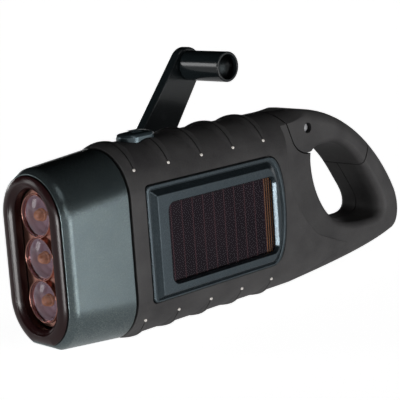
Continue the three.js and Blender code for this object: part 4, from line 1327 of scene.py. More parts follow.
    def gate_zone(self, seam: float) -> Solid:
        """Makes the region that the gate takes out of the tail plate; seam widens it.

        Args:
            seam: How much wider it is than the gate.

        Returns:
            The solid.
        """
        (x, z), reach = self.pivot, self.gate_reach + seam
        above = self.grip.height + self.grip.past
        knuckle = arc(x, z, self.knuckle + seam, *self.knuckle_deg, steps=32)
        nose = arc(x, z, reach, *self.nose_deg, steps=32)
        outline = [[(x - self.lean - seam, above)], knuckle, nose, [(x + reach, above)]]
        return Solid.slab(np.vstack(outline), -self.wide, self.wide)

    def gate_room(self) -> Solid:
        """Makes the room under the pivot that the gate's lower edge swings through."""
        sweep = arc(*self.pivot, self.swing_reach, *self.swing_deg)
        return Solid.slab(np.vstack([[self.pivot], sweep]), -self.wide, self.wide)

    def tongue(self) -> Solid:
        """Makes the shells' tongue between the gate's two cheeks.

        Returns:
            The solid.
        """
        direction, half = math.radians(self.tongue_deg), self.tongue_half
        neck = np.array([math.cos(direction), math.sin(direction)])
        side = np.array([-neck[1], neck[0]]) * self.tongue_width
        pivot = np.array(self.pivot)
        root = pivot + neck * (self.knuckle + self.grip.past)
        corners = np.array([pivot - side, root - side, root + side, pivot + side])
        stem = Solid.slab(corners, -half, half)
        return stem.join(Solid.bar(self.tongue_radius, -half, half, self.pivot))

    def screw_places(self) -> list[tuple[float, float, float]]:
        """Gives (x, z, Y of the head's outer face) of each housing screw.

        Returns:
            A place for each screw; the last one is in the tail.
        """
        g = self.grip
        edge = self.boss_radius + g.wall
        low = self.boss_low + self.boss_radius
        high = g.height - low
        front, rear = g.body_start, self.scoop[0] - self.scoop[2] - edge
        face = g.half_thickness - g.wall - self.screw_seat
        return [
            (front + edge, high + g.wall, face),
            (front + edge, low - g.wall, face),
            (rear + g.wall, high + g.wall, face),
            (rear + edge, low - g.wall, face),
            (*self.tail_screw, g.tail_half - self.screw_seat),
        ]

    def hollow(self, panel: SolarPanel) -> Solid:
        """Makes the room inside the thick body, with the screws' bosses left standing.

        Args:
            panel: The solar panel that is let in.

        Returns:
            The solid.
        """
        g = self.grip
        made = self.thick_body(g.body_start - g.past, g.wall)
        made.cut(self.behind_scoop(g.wall), self.between((self.hollow_end, g.tail_tip_x)))
        bosses = [
            Solid.bar(self.boss_radius, -self.wide, self.wide, (x, z))
            for x, z, _ in self.screw_places()[:-1]
        ]
        floor = self.pocket_y + self.pocket_floor
        pad = Solid.slab(panel.outline(g.gap + g.wall), -self.wide, floor)
        return made.cut(*bosses, pad, Solid.block(*self.shelf))

    def front_collar(self) -> Solid:
        """Makes the collar in front of the body that the head slides on to.

        Returns:
            The solid.
        """
        g = self.grip
        flange, outer, bore = self.collar[:2], self.collar[2:4], self.collar[4:]
        flange = g.loft([(x, 0, g.height, inset) for x, inset in flange])
        outer, bore = (g.loft([g.head_station(*end) for end in ends]) for ends in (outer, bore))
        return outer.join(flange).cut(bore)

    def screw_bore(self, x: float, z: float, face: float) -> Solid:
        """Makes a screw's clearance bore with a sunk seat for its head.

        Args:
            x: X of the screw.
            z: Z of the screw.
            face: Y of its head's outer face.

        Returns:
            The solid.
        """
        (hole, end), (well, under, mouth) = self.screw_hole, self.screw_well
        seat = face - under
        profile = [(0, end), (hole, end), (hole, seat), (well, seat), (well, mouth), (0, mouth)]
        return Solid.turned(profile, x, z, steps=48)

    def whole(self, panel: SolarPanel, button: PowerButton) -> Solid:
        """Makes the housing in one piece, before it is split into its shells.

        Args:
            panel: The solar panel that is let in.
            button: The button that comes through the top.

        Returns:
            The solid.
        """
        g, centre = self.grip, (self.grip.crank_x, self.grip.crank_z)
        start, out = self.plinth_y, g.half_thickness
        thick = self.thick_body(g.body_start, 0)
        thick.join(Solid.bar(self.plinth_radius, start, out, centre, steps=160), *self.ribs())
        ahead = self.between((-self.wide, g.body_start))
        thick.cut(self.behind_scoop(), ahead, self.gate_zone(self.seam), *self.rib_lines())
        thick.join(self.tail_plate().cut(self.gate_zone(self.seam), self.gate_room()))
        thick.cut(
            self.hollow(panel),
            Solid.slab(panel.outline(g.gap), -self.wide, self.pocket_y),
            Solid.bar(self.dome_opening, start, self.wide, centre, steps=160),
            Solid.bar(self.plinth_radius + g.gap, out, self.wide, centre, steps=160),
        )
        thick.join(self.front_collar(), self.tongue())
        under, over = self.button_well
        well = Solid.slab(button.outline(g.gap), g.height - under, g.height + over, Across.Z)
        bores = [self.screw_bore(*place) for place in self.screw_places()]
        return thick.cut(self.pin_bore(g.tail_half), well, *bores)

    def pin_bore(self, half: float) -> Solid:
        """Makes the cutter of the gate pin's bore."""
        return Solid.bar(self.pin_radius + self.clearance, -half, half, self.pivot)

    def gate(self) -> Solid:
        """Makes the gate, forked round the tongue at its pivot.

        Returns:
            The solid.
        """
        shape = self.tail_plate().common(self.gate_zone(0))
        x, z = self.pivot
        ahead, behind, deep = self.fork_mouth
        radius, half = self.fork
        corners = [(x - deep, z), (x - ahead, z - deep), (x + behind, z - deep), (x + behind, z)]
        mouth = Solid.slab(np.array(corners), -half, half)
        eye = Solid.bar(radius, -half, half, self.pivot)
        return shape.cut(eye, mouth, self.pin_bore(self.wide))

    def build(self, dresser: Dresser, panel: SolarPanel, button: PowerButton) -> None:
        """Builds and dresses both shells, their pips and the gate.

        Args:
            dresser: Finishes the pieces.
            panel: The solar panel that is let in.
            button: The button that comes through the top.
        """
        g, whole = self.grip, self.whole(panel, button)
        seam = g.gap / 2
        for name, node, sides in (
            ("rubber_shell_panel_side", "solar_side_shell", (-self.wide, g.parting_y - seam)),
            ("rubber_shell_crank_side", "crank_side_shell", (g.parting_y + seam, self.wide)),
        ):
            half = whole.copy().common(self.between((-self.wide, g.tail_tip_x + g.past), sides))
            dresser.piece(name, half, Slot.RUBBERISED_SHELL, replaces=[node])
        whole.drop()
        first, *others = self.pips()
        # The pips' pale colour is a painted highlight; wear only makes them smooth.
        dresser.piece("grip_pips", first.join(*others), Extra.WORN_RUBBER)
        dresser.piece("rubber_gate", self.gate(), Slot.RUBBERISED_SHELL, "gate", ["gate"])


@dataclass(frozen=True)
class Head:
    """Lacquered shroud, its seal and the glossy front bezel.

    Attributes:
        rounding: Radius of the head's rounded front.
        bezel_end_deg: Where on that round the bezel ends.
        shroud_start_deg: Where on it the shroud starts.
        shroud_lip: (x, inset) of the shroud's front lip, from where its round starts.
        edge: Size of the shroud's rounded rear edge, and the bulge of that round.
        seam: Room between shroud and body.
        bezel_lip: Size of the bezel's outer edge.
        lip_slant: Share of that size over which the edge slants.
        chamfer: Depth and width of the slope round the lenses' slot.
        slope_bulge: How far the slope bulges; slope_start is the share of it left to the lip.
        seal_ends: X of the seal's two ends.
        seal_insets: Insets of the seal's outside and inside.
    """

    grip: Grip
    rounding: float = 4
    bezel_end_deg: float = 38
    shroud_start_deg: float = 45
    shroud_wall: float = 1.6
    shroud_lip: Points = ((0.04, 0.28), (0, 0.1))
    edge: tuple[float, float] = (0.25, 0.07)
    seam: float = 0.8
    bezel_depth: float = 3.6
    bezel_lip: float = 0.1
    lip_slant: float = 0.8
    opening: float = 7.7
    chamfer: float = 1.3
    lip_radius: float = 0.5
    lip_end_deg: float = 62
    slope_bulge: float = 0.6
    slope_start: float = 0.15
    lens_pitch: float = 12.04
    seal_ends: tuple[float, float] = (24.5, 24.7)
    seal_insets: tuple[float, float] = (0.8, 2.2)

    def tube(self, ends: Sequence[float], inset: float) -> Solid:
        """Lofts the head's section, drawn in by an inset, between two places along X."""
        return self.grip.loft([self.grip.head_station(x, inset) for x in ends])

    def slot(self, radius: float) -> Outline:
        """Draws the tall slot round the three lenses in Y and Z.

        Args:
            radius: Radius of its ends.

        Returns:
            The slot's outline.
        """
        z = self.grip.height / 2
        lower = arc(0, z - self.lens_pitch, radius, -180, 0, steps=72)
        return np.vstack([lower, arc(0, z + self.lens_pitch, radius, 0, 180, steps=72)])

    def slot_loft(self, stations: Points) -> Solid:
        """Makes a solid along X through slots given as (x, radius)."""
        return Solid.skin([Across.X.ring(self.slot(radius), x) for x, radius in stations])

    def shroud(self) -> Solid:
        """Makes the lacquered shroud, with small rounds where light catches its ends.

        Returns:
            The solid.
        """
        g = self.grip
        rear = g.body_start - self.seam
        front = round_over(self.rounding, self.shroud_start_deg, 90, steps=14)
        lip = [(front[0][0] + x, front[0][1] + inset) for x, inset in self.shroud_lip]
        edge, bulge = self.edge
        tail = [(rear - edge, 0), (rear - bulge, bulge), (rear, edge)]
        outer = g.loft([g.head_station(x, inset) for x, inset in [*lip, *front, *tail]])
        return outer.cut(self.tube((-g.past, g.body_start), self.shroud_wall))

    def bezel(self) -> Solid:
        """Makes the bezel with a rounded mouth round the lenses.

        Returns:
            The solid.
        """
        g = self.grip
        inside = self.shroud_wall + g.gap
        front = round_over(self.rounding, 0, self.bezel_end_deg, steps=12)
        part_x, part_inset = front[-1]
        lip = self.bezel_lip
        outline = [
            *front,
            (part_x + self.lip_slant * lip, part_inset + lip),
            (part_x + lip, inside),
            (self.bezel_depth, inside),
        ]
        outer = g.loft([g.head_station(x, inset) for x, inset in outline])
        wide = self.opening + self.chamfer
        turn = round_over(self.lip_radius, 0, self.lip_end_deg, steps=6)
        mouth = [(-g.past, wide + turn[0][1]), *[(x, wide + inset) for x, inset in turn]]
        x, radius = mouth[-1]
        depth, width, bulge = self.chamfer - x, self.opening - radius, self.slope_bulge
        mouth += [
            (x + depth * s, radius + width * s * (1 + bulge - bulge * s))
            for s in np.linspace(self.slope_start, 1, num=8)
        ]
        mouth.append((self.bezel_depth + g.past, self.opening))
        return outer.cut(self.slot_loft(mouth))

    def seal(self) -> Solid:
        """Makes the seal ring between shroud and body.

        Returns:
            The solid.
        """
        outside, inside = self.seal_insets
        bore = (self.seal_ends[0] - self.grip.past, self.seal_ends[1] + self.grip.past)
        return self.tube(self.seal_ends, outside).cut(self.tube(bore, inside))

    def build(self, dresser: Dresser) -> None:
        """Builds and dresses the shroud, its seal and the bezel.

        Args:
            dresser: Finishes the pieces.
        """
        for name, solid, slot, node in (
            ("head_shroud_lacquered", self.shroud(), Slot.GUNMETAL_PAINT, "head_shroud"),
            ("head_seal_ring", self.seal(), Slot.SEAL_RUBBER, "head_gasket"),
            ("bezel_moulded", self.bezel(), Slot.BEZEL_BLACK, "front_bezel"),
        ):
            dresser.piece(name, solid, slot, replaces=[node])


@dataclass(frozen=True)
class Lamps:
    """Three lens, reflector and diode sets behind the bezel.

    Attributes:
        lens_groove: (radius past the face, depth) of the groove round the face.
        lens_shoulder: (radius in from the outside, depth) of the rim's front edge.
        holder: How far the rim that holds a lens reaches past it.
        led_neck: Radius of the diode as a share of led_radius.
        led_flange_height: Height of the flange, and the size of its edge.
        led_leg_pitch: Half the distance between legs.
        led_leg_root: How far a leg reaches into the diode.
    """

    head: Head
    lens_radius: float = 5.85
    rim_x: float = 2.4
    rim: float = 0.8
    crown: float = 1.1
    lens_flange: float = 0.8
    lens_groove: Points = ((0.1, 0.22), (0.25, 0.22), (0.35, 0))
    lens_shoulder: Points = ((0.15, -0.05), (0, 0.1))
    lens_edge: float = 0.1
    lens_skin: float = 0.65
    lens_ledge: float = 0.25
    depth: float = 5.6
    block_edge: float = 0.15
    holder: float = 0.3
    holder_gap: float = 0.05
    holder_edge: float = 0.1
    cup_skin: float = 0.08
    cup_gap: float = 0.03
    cup_ridges: int = 3
    cup_ridge: float = 0.12
    led_radius: float = 2.5
    led_tip: float = 2.3
    led_neck: float = 0.64
    led_body: float = 2.7
    led_flange: float = 0.2
    led_flange_height: tuple[float, float] = (0.7, 0.05)
    led_leg: float = 0.25
    led_leg_pitch: float = 1.27
    led_leg_root: float = 0.3
    led_back: float = 12.3

    @property
    def front(self) -> float:
        """X of the reflector's front."""
        return self.rim_x + self.rim + self.head.grip.gap

    def places(self) -> list[tuple[str, float]]:
        """Gives each lamp's name and its height.

        Returns:
            The places, from the top.
        """
        middle = self.head.grip.height / 2
        pitch = self.head.lens_pitch
        return [("upper", middle + pitch), ("middle", middle), ("lower", middle - pitch)]

    def bowl(self, shrink: float, steps: int) -> list[tuple[float, float]]:
        """Draws a cup's wall from throat to mouth as (radius, x).

        Args:
            shrink: How much narrower it is drawn.
            steps: Points along the wall.

        Returns:
            The wall.
        """
        gap = self.head.grip.gap
        mouth, throat = self.lens_radius - gap - shrink, self.led_radius + gap - shrink
        return [
            (throat + (mouth - throat) * math.sqrt(s), self.front + self.depth * (1 - s))
            for s in np.linspace(0, 1, steps)
        ]

    def reflector(self) -> Solid:
        """Makes the reflector block with three parabolic cups and a rim round each lens.

        Returns:
            The solid.
        """
        front, past, edge = self.front, self.head.grip.past, self.block_edge
        rear = front + self.depth
        radius = self.head.opening - self.head.grip.gap
        sides = [(front, radius - edge), (front + edge, radius), (rear, radius)]
        block = self.head.slot_loft(sides)
        wall = self.bowl(0, 18)
        behind, ahead = rear + past, front - past
        cup = [(0, behind), (wall[0][0], behind), *wall, (wall[-1][0], ahead), (0, ahead)]
        inside, outside = self.lens_radius + self.holder_gap, self.lens_radius + self.holder
        edge = self.holder_edge
        rim = [
            (inside, front + edge),
            (inside, self.rim_x + edge),
            ((inside + outside) / 2, self.rim_x),
            (outside, self.rim_x + edge),
            (outside, front + edge),
        ]
        cups, rims = (
            [Solid.turned(profile, 0, z, Across.X) for _, z in self.places()]
            for profile in (cup, rim)
        )
        return block.cut(*cups).join(*rims)

    def cup(self, z: float) -> Solid:
        """Makes the thin silvered lining of one cup, moulded in rings.

        Args:
            z: Height of the lamp's axis.

        Returns:
            The solid.
        """
        steps = 25
        outer = self.bowl(self.cup_gap, steps)
        turns = np.linspace(0, 1, steps) * self.cup_ridges * 2 * math.pi
        inner = [
            (radius - self.cup_skin - self.cup_ridge * (1 - math.cos(turn)) / 2, x)
            for (radius, x), turn in zip(outer, turns)
        ]
        return Solid.turned([*outer, *inner[::-1]], 0, z, Across.X, steps=64)

    def lens(self, z: float) -> Solid:
        """Makes a lens with a crowned face, a grooved rim and a hollow back.

        Args:
            z: Height of the lamp's axis.

        Returns:
            The solid.
        """
        radius, back, edge = self.lens_radius, self.rim_x + self.rim, self.lens_edge
        inner = radius - self.lens_flange
        shares = np.linspace(0, 1, 20)
        dome = [self.rim_x - self.crown * (1 - s * s) for s in shares]
        face = [(inner * s, x) for s, x in zip(shares, dome)]
        groove = [(inner + r, self.rim_x + x) for r, x in self.lens_groove]
        shoulder = [(radius - r, self.rim_x + x) for r, x in self.lens_shoulder]
        rear = [(radius, back - edge), (radius - edge, back), (inner, back)]
        ledge = inner - self.lens_ledge
        hollow = [(ledge * s, x + self.lens_skin) for s, x in zip(shares, dome)]
        profile = [*face, *groove, *shoulder, *rear, *hollow[::-1]]
        return Solid.turned(profile, 0, z, Across.X)

    def diode(self, z: float) -> Solid:
        """Makes a domed diode with the flange at its foot and its legs.

        Args:
            z: Height of the lamp's axis.

        Returns:
            The solid.
        """
        radius = self.led_radius * self.led_neck
        turn = np.linspace(0, math.pi / 2, 14)
        dome = [(radius * math.sin(a), self.led_tip + radius * (1 - math.cos(a))) for a in turn]
        end = self.led_tip + self.led_body
        flange, (height, edge) = radius + self.led_flange, self.led_flange_height
        foot = [(radius, end - height), (flange, end - height + edge), (flange, end), (0, end)]
        lamp = Solid.turned([*dome, *foot], 0, z, Across.X, steps=64)
        legs = []
        for y in (-self.led_leg_pitch, self.led_leg_pitch):
            leg = arc(y, z, self.led_leg, 0, 360, steps=16)[:-1]
            legs.append(Solid.slab(leg, end - self.led_leg_root, self.led_back, Across.X))
        return lamp.join(*legs)

    def build(self, dresser: Dresser, nodes: Nodes) -> None:
        """Builds and dresses the reflector, lenses and diodes.

        Args:
            dresser: Finishes the pieces.
            nodes: The CAD nodes by name.
        """
        block = self.reflector()
        dresser.piece("reflector_metallised", block, Slot.REFLECTOR, replaces=["reflector"])
        for place, z in self.places():
            lens = self.lens(z)
            dresser.piece(f"{place}_lens_clear", lens, Slot.LENS, replaces=[f"{place}_lens"])
            dresser.piece(f"{place}_cup_silvered", self.cup(z), Extra.SILVERED_CUP)
            dresser.piece(f"{place}_diode", self.diode(z), Slot.LED, replaces=[f"{place}_led"])
        dresser.keep(nodes, "led_board", Slot.CIRCUIT_BOARD)


@dataclass(frozen=True)
class SolarPanel:
    """Lacquered frame with a raised face, and the solar cell behind its cover.

    Attributes:
        small: Radius of the front corners, and least what they keep of it.
        low_share: Share of an inset that its lower edge gets.
        rim: (depth, inset) round the lip's outer edge.
        valley: (depth, inset past the lip) from the lip down to the foot of the flank.
        crest: (depth, inset past the flank) round the flank's upper edge.
        window: Left, right, lowest and highest edge of the window.
        window_sides: (depth under the raised face, growth) of the window's slope.
        overlap: How far the cell reaches behind the frame.
        past: How far a cutter reaches past what it cuts.
    """

    start: float = 30.7
    length: float = 56.4
    low: float = 10.1
    height: float = 33.7
    small: float = 1.4
    large: float = 4.7
    least: float = 0.3
    bow: float = 2
    low_share: float = 0.55
    face_y: float = -14.3
    top_y: float = -15
    back_y: float = -12.6
    rim: Points = ((0.3, 0), (0.09, 0.09), (0, 0.3))
    lip: float = 1.3
    flank: float = 2
    valley: Points = ((0, -0.4), (0.04, -0.22), (0.15, -0.08), (0.4, 0.12))
    crest: Points = ((0.12, -0.25), (0.03, -0.1), (0, 0.05))
    window: tuple[float, float, float, float] = (38.3, 81.9, 14.5, 37.4)
    window_corner: float = 2
    window_sides: Points = ((-1.5, 0.7), (0, 0.7), (0.04, 0.6), (1.15, 0))
    cell: float = 0.5
    cover: float = 0.5
    overlap: float = 1.4
    gap: float = 0.3
    past: float = 1.5

    def outline(self, grow: float) -> Outline:
        """Draws the frame's outline; a negative grow draws its lower edge in less.

        Args:
            grow: How much larger it is drawn.

        Returns:
            The outline.
        """
        left, right = self.start - grow, self.start + self.length + grow
        low = self.low - (grow * self.low_share if grow < 0 else grow)
        high = self.low + self.height + grow
        large = self.large + grow / 2
        small = max(self.least, self.small + grow / 2)
        middle = (low + high) / 2
        corner, bow = right - large - self.bow, right - self.bow
        rear = [(corner, low), (bow, low), (right, middle - 2 * large), (right, middle)]
        rear += [(right, middle + 2 * large), (bow, high), (corner, high)]
        upper = arc(left + small, high - small, small, 90, 180, steps=8)
        lower = arc(left + small, low + small, small, 180, 270, steps=8)
        return np.vstack([curve_chain(rear), upper, lower])

    def window_outline(self, grow: float) -> Outline:
        """Draws the window with round corners; grow widens it.

        Args:
            grow: How much wider it is drawn.

        Returns:
            The outline.
        """
        left, right, low, high = self.window
        r = self.window_corner + grow
        xs, zs = (left - grow + r, right + grow - r), (low - grow + r, high + grow - r)
        corners = [(xs[0], zs[0]), (xs[1], zs[0]), (xs[1], zs[1]), (xs[0], zs[1])]
        return np.vstack(
            [arc(*at, r, 90 * i - 180, 90 * i - 90, steps=10) for i, at in enumerate(corners)]
        )

    def frame(self) -> Solid:
        """Makes the frame: a lip, a groove, a sloping flank and the raised face.

        Returns:
            The solid.
        """
        shelf = self.lip + self.flank
        sides = [(self.back_y, 0)]
        sides += [(self.face_y + y, inset) for y, inset in self.rim]
        sides += [(self.face_y + y, self.lip + inset) for y, inset in self.valley]
        sides += [(self.top_y + y, shelf + inset) for y, inset in self.crest]
        body = Solid.skin([Across.Y.ring(self.outline(-inset), y) for y, inset in sides])
        behind = self.back_y + self.past
        mouth = [*[(self.top_y + y, grow) for y, grow in self.window_sides], (behind, 0)]
        window = Solid.skin([Across.Y.ring(self.window_outline(grow), y) for y, grow in mouth])
        seat = self.window_outline(self.overlap + self.gap)
        return body.cut(window, Solid.slab(seat, self.back_y - self.cell - self.gap, behind))

    def sheet(self, grow: float, back: float, thickness: float) -> Solid:
        """Makes a sheet with the window's outline in front of a place along Y."""
        return Solid.slab(self.window_outline(grow), back - thickness, back)

    def build(self, dresser: Dresser) -> None:
        """Builds and dresses the frame, the cell and its cover.

        Args:
            dresser: Finishes the pieces.
        """
        frame = self.frame()
        cell = self.sheet(self.overlap, self.back_y, self.cell)
        cover = self.sheet(-self.gap, self.back_y - self.cell - self.gap, self.cover)
        for name, solid, slot, node in (
            # The frame's darker lacquer is painted shade on the shroud's lacquer.
            ("panel_frame_lacquered", frame, Extra.FRAME_LACQUER, "solar_frame"),
            ("solar_cell_film", cell, Slot.SOLAR_CELL, "solar_cell"),
            ("solar_cell_window", cover, Slot.CELL_COVER, "cell_cover"),
        ):
            dresser.piece(name, solid, slot, replaces=[node])


@dataclass(frozen=True)
class PowerButton:
    """Glossy button on the top edge.

    Attributes:
        crown: Height of the crown; the next three sizes are shares of it.
        face: How far the gently crowned face falls.
        shoulder: How far the rounded shoulder reaches in.
        centre: How far the face reaches in from there.
        face_start: Share of that reach at which its first level lies.
    """

    x: float = 40.4
    length: float = 12
    width: float = 8
    top: float = 57.3
    crown: float = 1.6
    face: float = 0.35
    shoulder: float = 0.8
    centre: float = 2.6
    face_start: float = 0.1
    flange: float = 1
    flange_low: float = 50.5
    flange_top: float = 51.4
    stem_radius: float = 1.6
    stem_low: float = 50.0

    def outline(self, grow: float) -> Outline:
        """Draws the button's outline in X and Y.

        Args:
            grow: How much larger it is drawn.

        Returns:
            The outline.
        """
        radius = self.width / 2 + grow
        reach = (self.length - self.width) / 2
        front = arc(self.x + reach, 0, radius, -90, 90, steps=40)
        return np.vstack([front, arc(self.x - reach, 0, radius, 90, 270, steps=40)])

    def levels(self) -> list[tuple[float, float]]:
        """Gives (z, inset) of the cap from its foot to its crowned top, in shares of the crown.

        Returns:
            The levels.
        """
        levels = [
            (self.face + (1 - self.face) * (1 - math.sin(a)), self.shoulder * (1 - math.cos(a)))
            for a in np.linspace(0, math.pi / 2, 10)
        ]
        levels += [
            (self.face * (1 - s) ** 2, self.shoulder + self.centre * s)
            for s in np.linspace(self.face_start, 1, num=10)
        ]
        cap = [(self.top - self.crown * fall, self.crown * inset) for fall, inset in levels]
        return [(self.flange_low, 0), *cap]

    def build(self, dresser: Dresser) -> None:
        """Builds and dresses the button.

        Args:
            dresser: Finishes the pieces.
        """
        rings = [Across.Z.ring(inwards(self.outline(0), inset), z) for z, inset in self.levels()]
        flange = Solid.slab(self.outline(self.flange), self.flange_low, self.flange_top, Across.Z)
        stem = arc(self.x, 0, self.stem_radius, 0, 360, steps=40)[:-1]
        stem = Solid.slab(stem, self.stem_low, self.flange_top, Across.Z)
        cap = Solid.skin(rings).join(flange, stem)
        dresser.piece("button_polished", cap, Extra.BLUE_BLACK, "button", ["power_button"])


@dataclass(frozen=True)
class Crank:
    """Folding crank: dome, hub, arm, knob and their pins.

    The hub, arm and knob are drawn with the arm along X from the crank's axis, then turned up.

    Attributes:
        reach: Distance from the crank's axis to the knob's.
        dome_outside: (radius, y) of the dome's outside, from its foot to its top.
        dome_inside: (radius, y) of the dome's inside, from the bearing to its foot.
        screw_hole: Radius and depth of the screw's hole in the shaft.
        hub_disc: Height of the disc and of the step over it.
        pin_edge: Size of the edges of the pin and of the parts round it.
        arm_shoulder: Room between the ears and the arm's root.
        arm_corner: How far from the root's corners their rounds start, and a point on them.
        arm_tab: How far the eye's tab reaches into the arm.
        knob_edge: Width and depth of the rim's inner edge.
        rivet: Radius and height of the rivet on the arm's far side.
    """

    grip: Grip
    angle_deg: float = 52.5
    reach: float = 51.6
    clearance: float = 0.15
    dome_outside: Points = ((23.5, 14.3), (23.5, 15.5), (21.2, 20.4), (20, 22.8), (18.8, 24))
    dome_round: float = 2.2
    dome_inside: Points = (
        (5.6, 11), (5.6, 22.2), (17, 22.2), (18.8, 12.2), (20.6, 12.2), (20.6, 14.3),
    )  # fmt: skip
    shaft: float = 3
    screw_hole: tuple[float, float] = (1.5, 8)
    hub: float = 10
    hub_disc: tuple[float, float] = (3, 0.3)
    hub_round: float = 0.7
    neck: float = 8.2
    ear: float = 3.2
    ear_width: float = 3
    eye: float = 2.6
    eye_width: float = 8
    pin: float = 1.2
    pin_edge: float = 0.15
    arm_y: float = 33
    arm_thickness: float = 3.5
    arm_root: float = 15
    arm_shoulder: float = 0.9
    arm_corner: tuple[float, float, float] = (1.8, 0.5, 0.4)
    arm_tab: float = 1
    arm_end: float = 6
    arm_sweep_deg: float = 91.7
    arm_edge: float = 0.7
    knob: float = 4.9
    knob_length: float = 18
    knob_rim: float = 0.9
    knob_round: float = 0.8
    knob_edge: tuple[float, float] = (0.1, 0.2)
    knob_cup: float = 3
    knob_pin: float = 1.5
    rivet: tuple[float, float] = (3, 0.9)

    @property
    def hinge_y(self) -> float:
        """Y of the hinge's axis, the middle of the arm's thickness."""
        return self.arm_y + self.arm_thickness / 2

    def raised(self, solid: Solid) -> Solid:
        """Turns a solid drawn about the crank's axis up to its place at rest."""
        turn = Matrix.Rotation(-math.radians(self.angle_deg), 4, "Y")
        return solid.turn(Matrix.Translation((self.grip.crank_x, 0, self.grip.crank_z)) @ turn)

    def along_z(self, radius: float, low: float, high: float) -> Solid:
        """Makes a round bar along the hinge's axis with small rounds at its ends.

        Args:
            radius: Its radius.
            low: Z of one end.
            high: Z of the other end.

        Returns:
            The bar.
        """
        edge = self.pin_edge
        start = [(0, low), (radius - edge, low), (radius, low + edge)]
        end = [(radius, high - edge), (radius - edge, high), (0, high)]
        return Solid.turned([*start, *end], 0, self.hinge_y, Across.Z, steps=48)

    def pin_bore(self) -> Solid:
        """Makes the cutter of the hinge pin's bore."""
        return self.along_z(self.pin + self.clearance, -self.hub, self.hub)

    def dome(self) -> Solid:
        """Makes the dome that carries the crank's bearing.

        Returns:
            The solid.
        """
        g, bore = self.grip, self.shaft + self.clearance
        foot, top = self.dome_inside[0][1], self.dome_outside[-1][1]
        outer = softened(self.dome_outside, self.dome_round, steps=8)
        mouth = [(bore + g.gap, top), (bore, top - g.gap)]
        profile = [(bore, foot), *self.dome_inside, *outer, *mouth]
        return Solid.turned(profile, g.crank_x, g.crank_z, steps=144)

    def hub_piece(self) -> Solid:
        """Makes the hub with its shaft and the two ears of the hinge.

        Returns:
            The solid.
        """
        gap = self.grip.gap
        low = self.dome_outside[-1][1] + gap
        high = self.hinge_y - self.ear
        disc, step = self.hub_disc
        outer = [(self.hub, low), (self.hub, low + disc), (self.neck, low + disc + step)]
        outer = softened([*outer, (self.neck, high), (0, high)], self.hub_round, steps=5)
        shaft_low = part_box("crank_hub")[0].y / MM
        hole, depth = self.screw_hole
        inside = [(0, shaft_low + depth), (hole, shaft_low + depth), (hole, shaft_low)]
        inside += [(self.shaft, shaft_low), (self.shaft, low)]
        hub = Solid.turned([*inside, *outer], 0, 0)
        near = self.eye_width / 2 + gap
        for side in (-1, 1):
            ends = sorted((side * near, side * (near + self.ear_width)))
            cheek = Solid.block((-self.ear, low + disc, ends[0]), (self.ear, self.hinge_y, ends[1]))
            hub.join(cheek, self.along_z(self.ear, *ends))
        return hub.cut(self.pin_bore())

    def arm_outline(self) -> Outline:
        """Draws the arm's plate from its root to its round end.

        Returns:
            The outline.
        """
        half, root = self.arm_root / 2, self.ear + self.arm_shoulder
        corner, along, in_from = self.arm_corner
        end = arc(self.reach, 0, self.arm_end, -self.arm_sweep_deg, self.arm_sweep_deg, steps=64)
        near = softened([(root, half), (root, -half), end[0]], corner, steps=8)[1:-1]
        back = [(root + corner, half), (root + along, half - in_from), (root, half - corner)]
        return np.vstack([near, end, back])

    def arm(self) -> Solid:
        """Makes the arm with rounded edges and the eye of the hinge.

        Returns:
            The solid.
        """
        low, high, half = self.arm_y, self.arm_y + self.arm_thickness, self.eye_width / 2
        outline, past = self.arm_outline(), self.grip.past
        edge = round_over(self.arm_edge, 0, 90, steps=6)
        levels = [(low + rise, inset) for rise, inset in edge]
        levels += [(high - rise, inset) for rise, inset in edge[::-1]]
        plate = Solid.skin([Across.Y.ring(inwards(outline, inset), y) for y, inset in levels])
        tab = (self.ear + self.arm_shoulder + self.arm_tab, high, half)
        plate.join(Solid.block((0, low, -half), tab), self.along_z(self.eye, -half, half))
        radius = self.knob_pin + self.grip.gap
        bore = Solid.bar(radius, low - past, high + past, (self.reach, 0), steps=48)
        return plate.cut(self.pin_bore(), bore)

    def knob_piece(self) -> Solid:
        """Makes the knob with a rounded rim and the cup that holds the pin's head.

        Returns:
            The solid.
        """
        end, top = self.arm_y - self.knob_length, self.arm_y - self.grip.gap
        bore, cup = self.knob_pin + self.clearance, self.knob - self.knob_rim
        width, depth = self.knob_edge
        outer = [(cup, end), (self.knob, end), (self.knob, top), (bore, top)]
        outer = softened(outer, self.knob_round, steps=8)[1:]
        inside = [(bore, end + self.knob_cup), (cup, end + self.knob_cup), (cup, end + depth)]
        return Solid.turned([*inside, (cup + width, end), *outer], self.reach, 0)

    def pin_piece(self) -> Solid:
        """Makes the knob's pin with a domed head and a rivet on the far side of the arm.

        Returns:
            The solid.
        """
        gap, end = self.grip.gap, self.arm_y - self.knob_length
        head = self.knob - self.knob_rim - gap
        low, high = end + self.knob_rim, end + self.knob_cup - gap
        far = self.arm_y + self.arm_thickness + gap
        radius, rise = self.rivet
        dome = [(head * s, low + self.knob_rim * s * s) for s in np.linspace(0, 1, 14)]
        turn = np.linspace(0, math.pi / 2, 10)[:-1]
        rivet = [(radius * math.cos(a), far + rise * math.sin(a)) for a in turn]
        stem = [(head, high), (self.knob_pin, high), (self.knob_pin, far)]
        profile = [*dome, *stem, *rivet, (0, far + rise)]
        return Solid.turned(profile, self.reach, 0, steps=64)

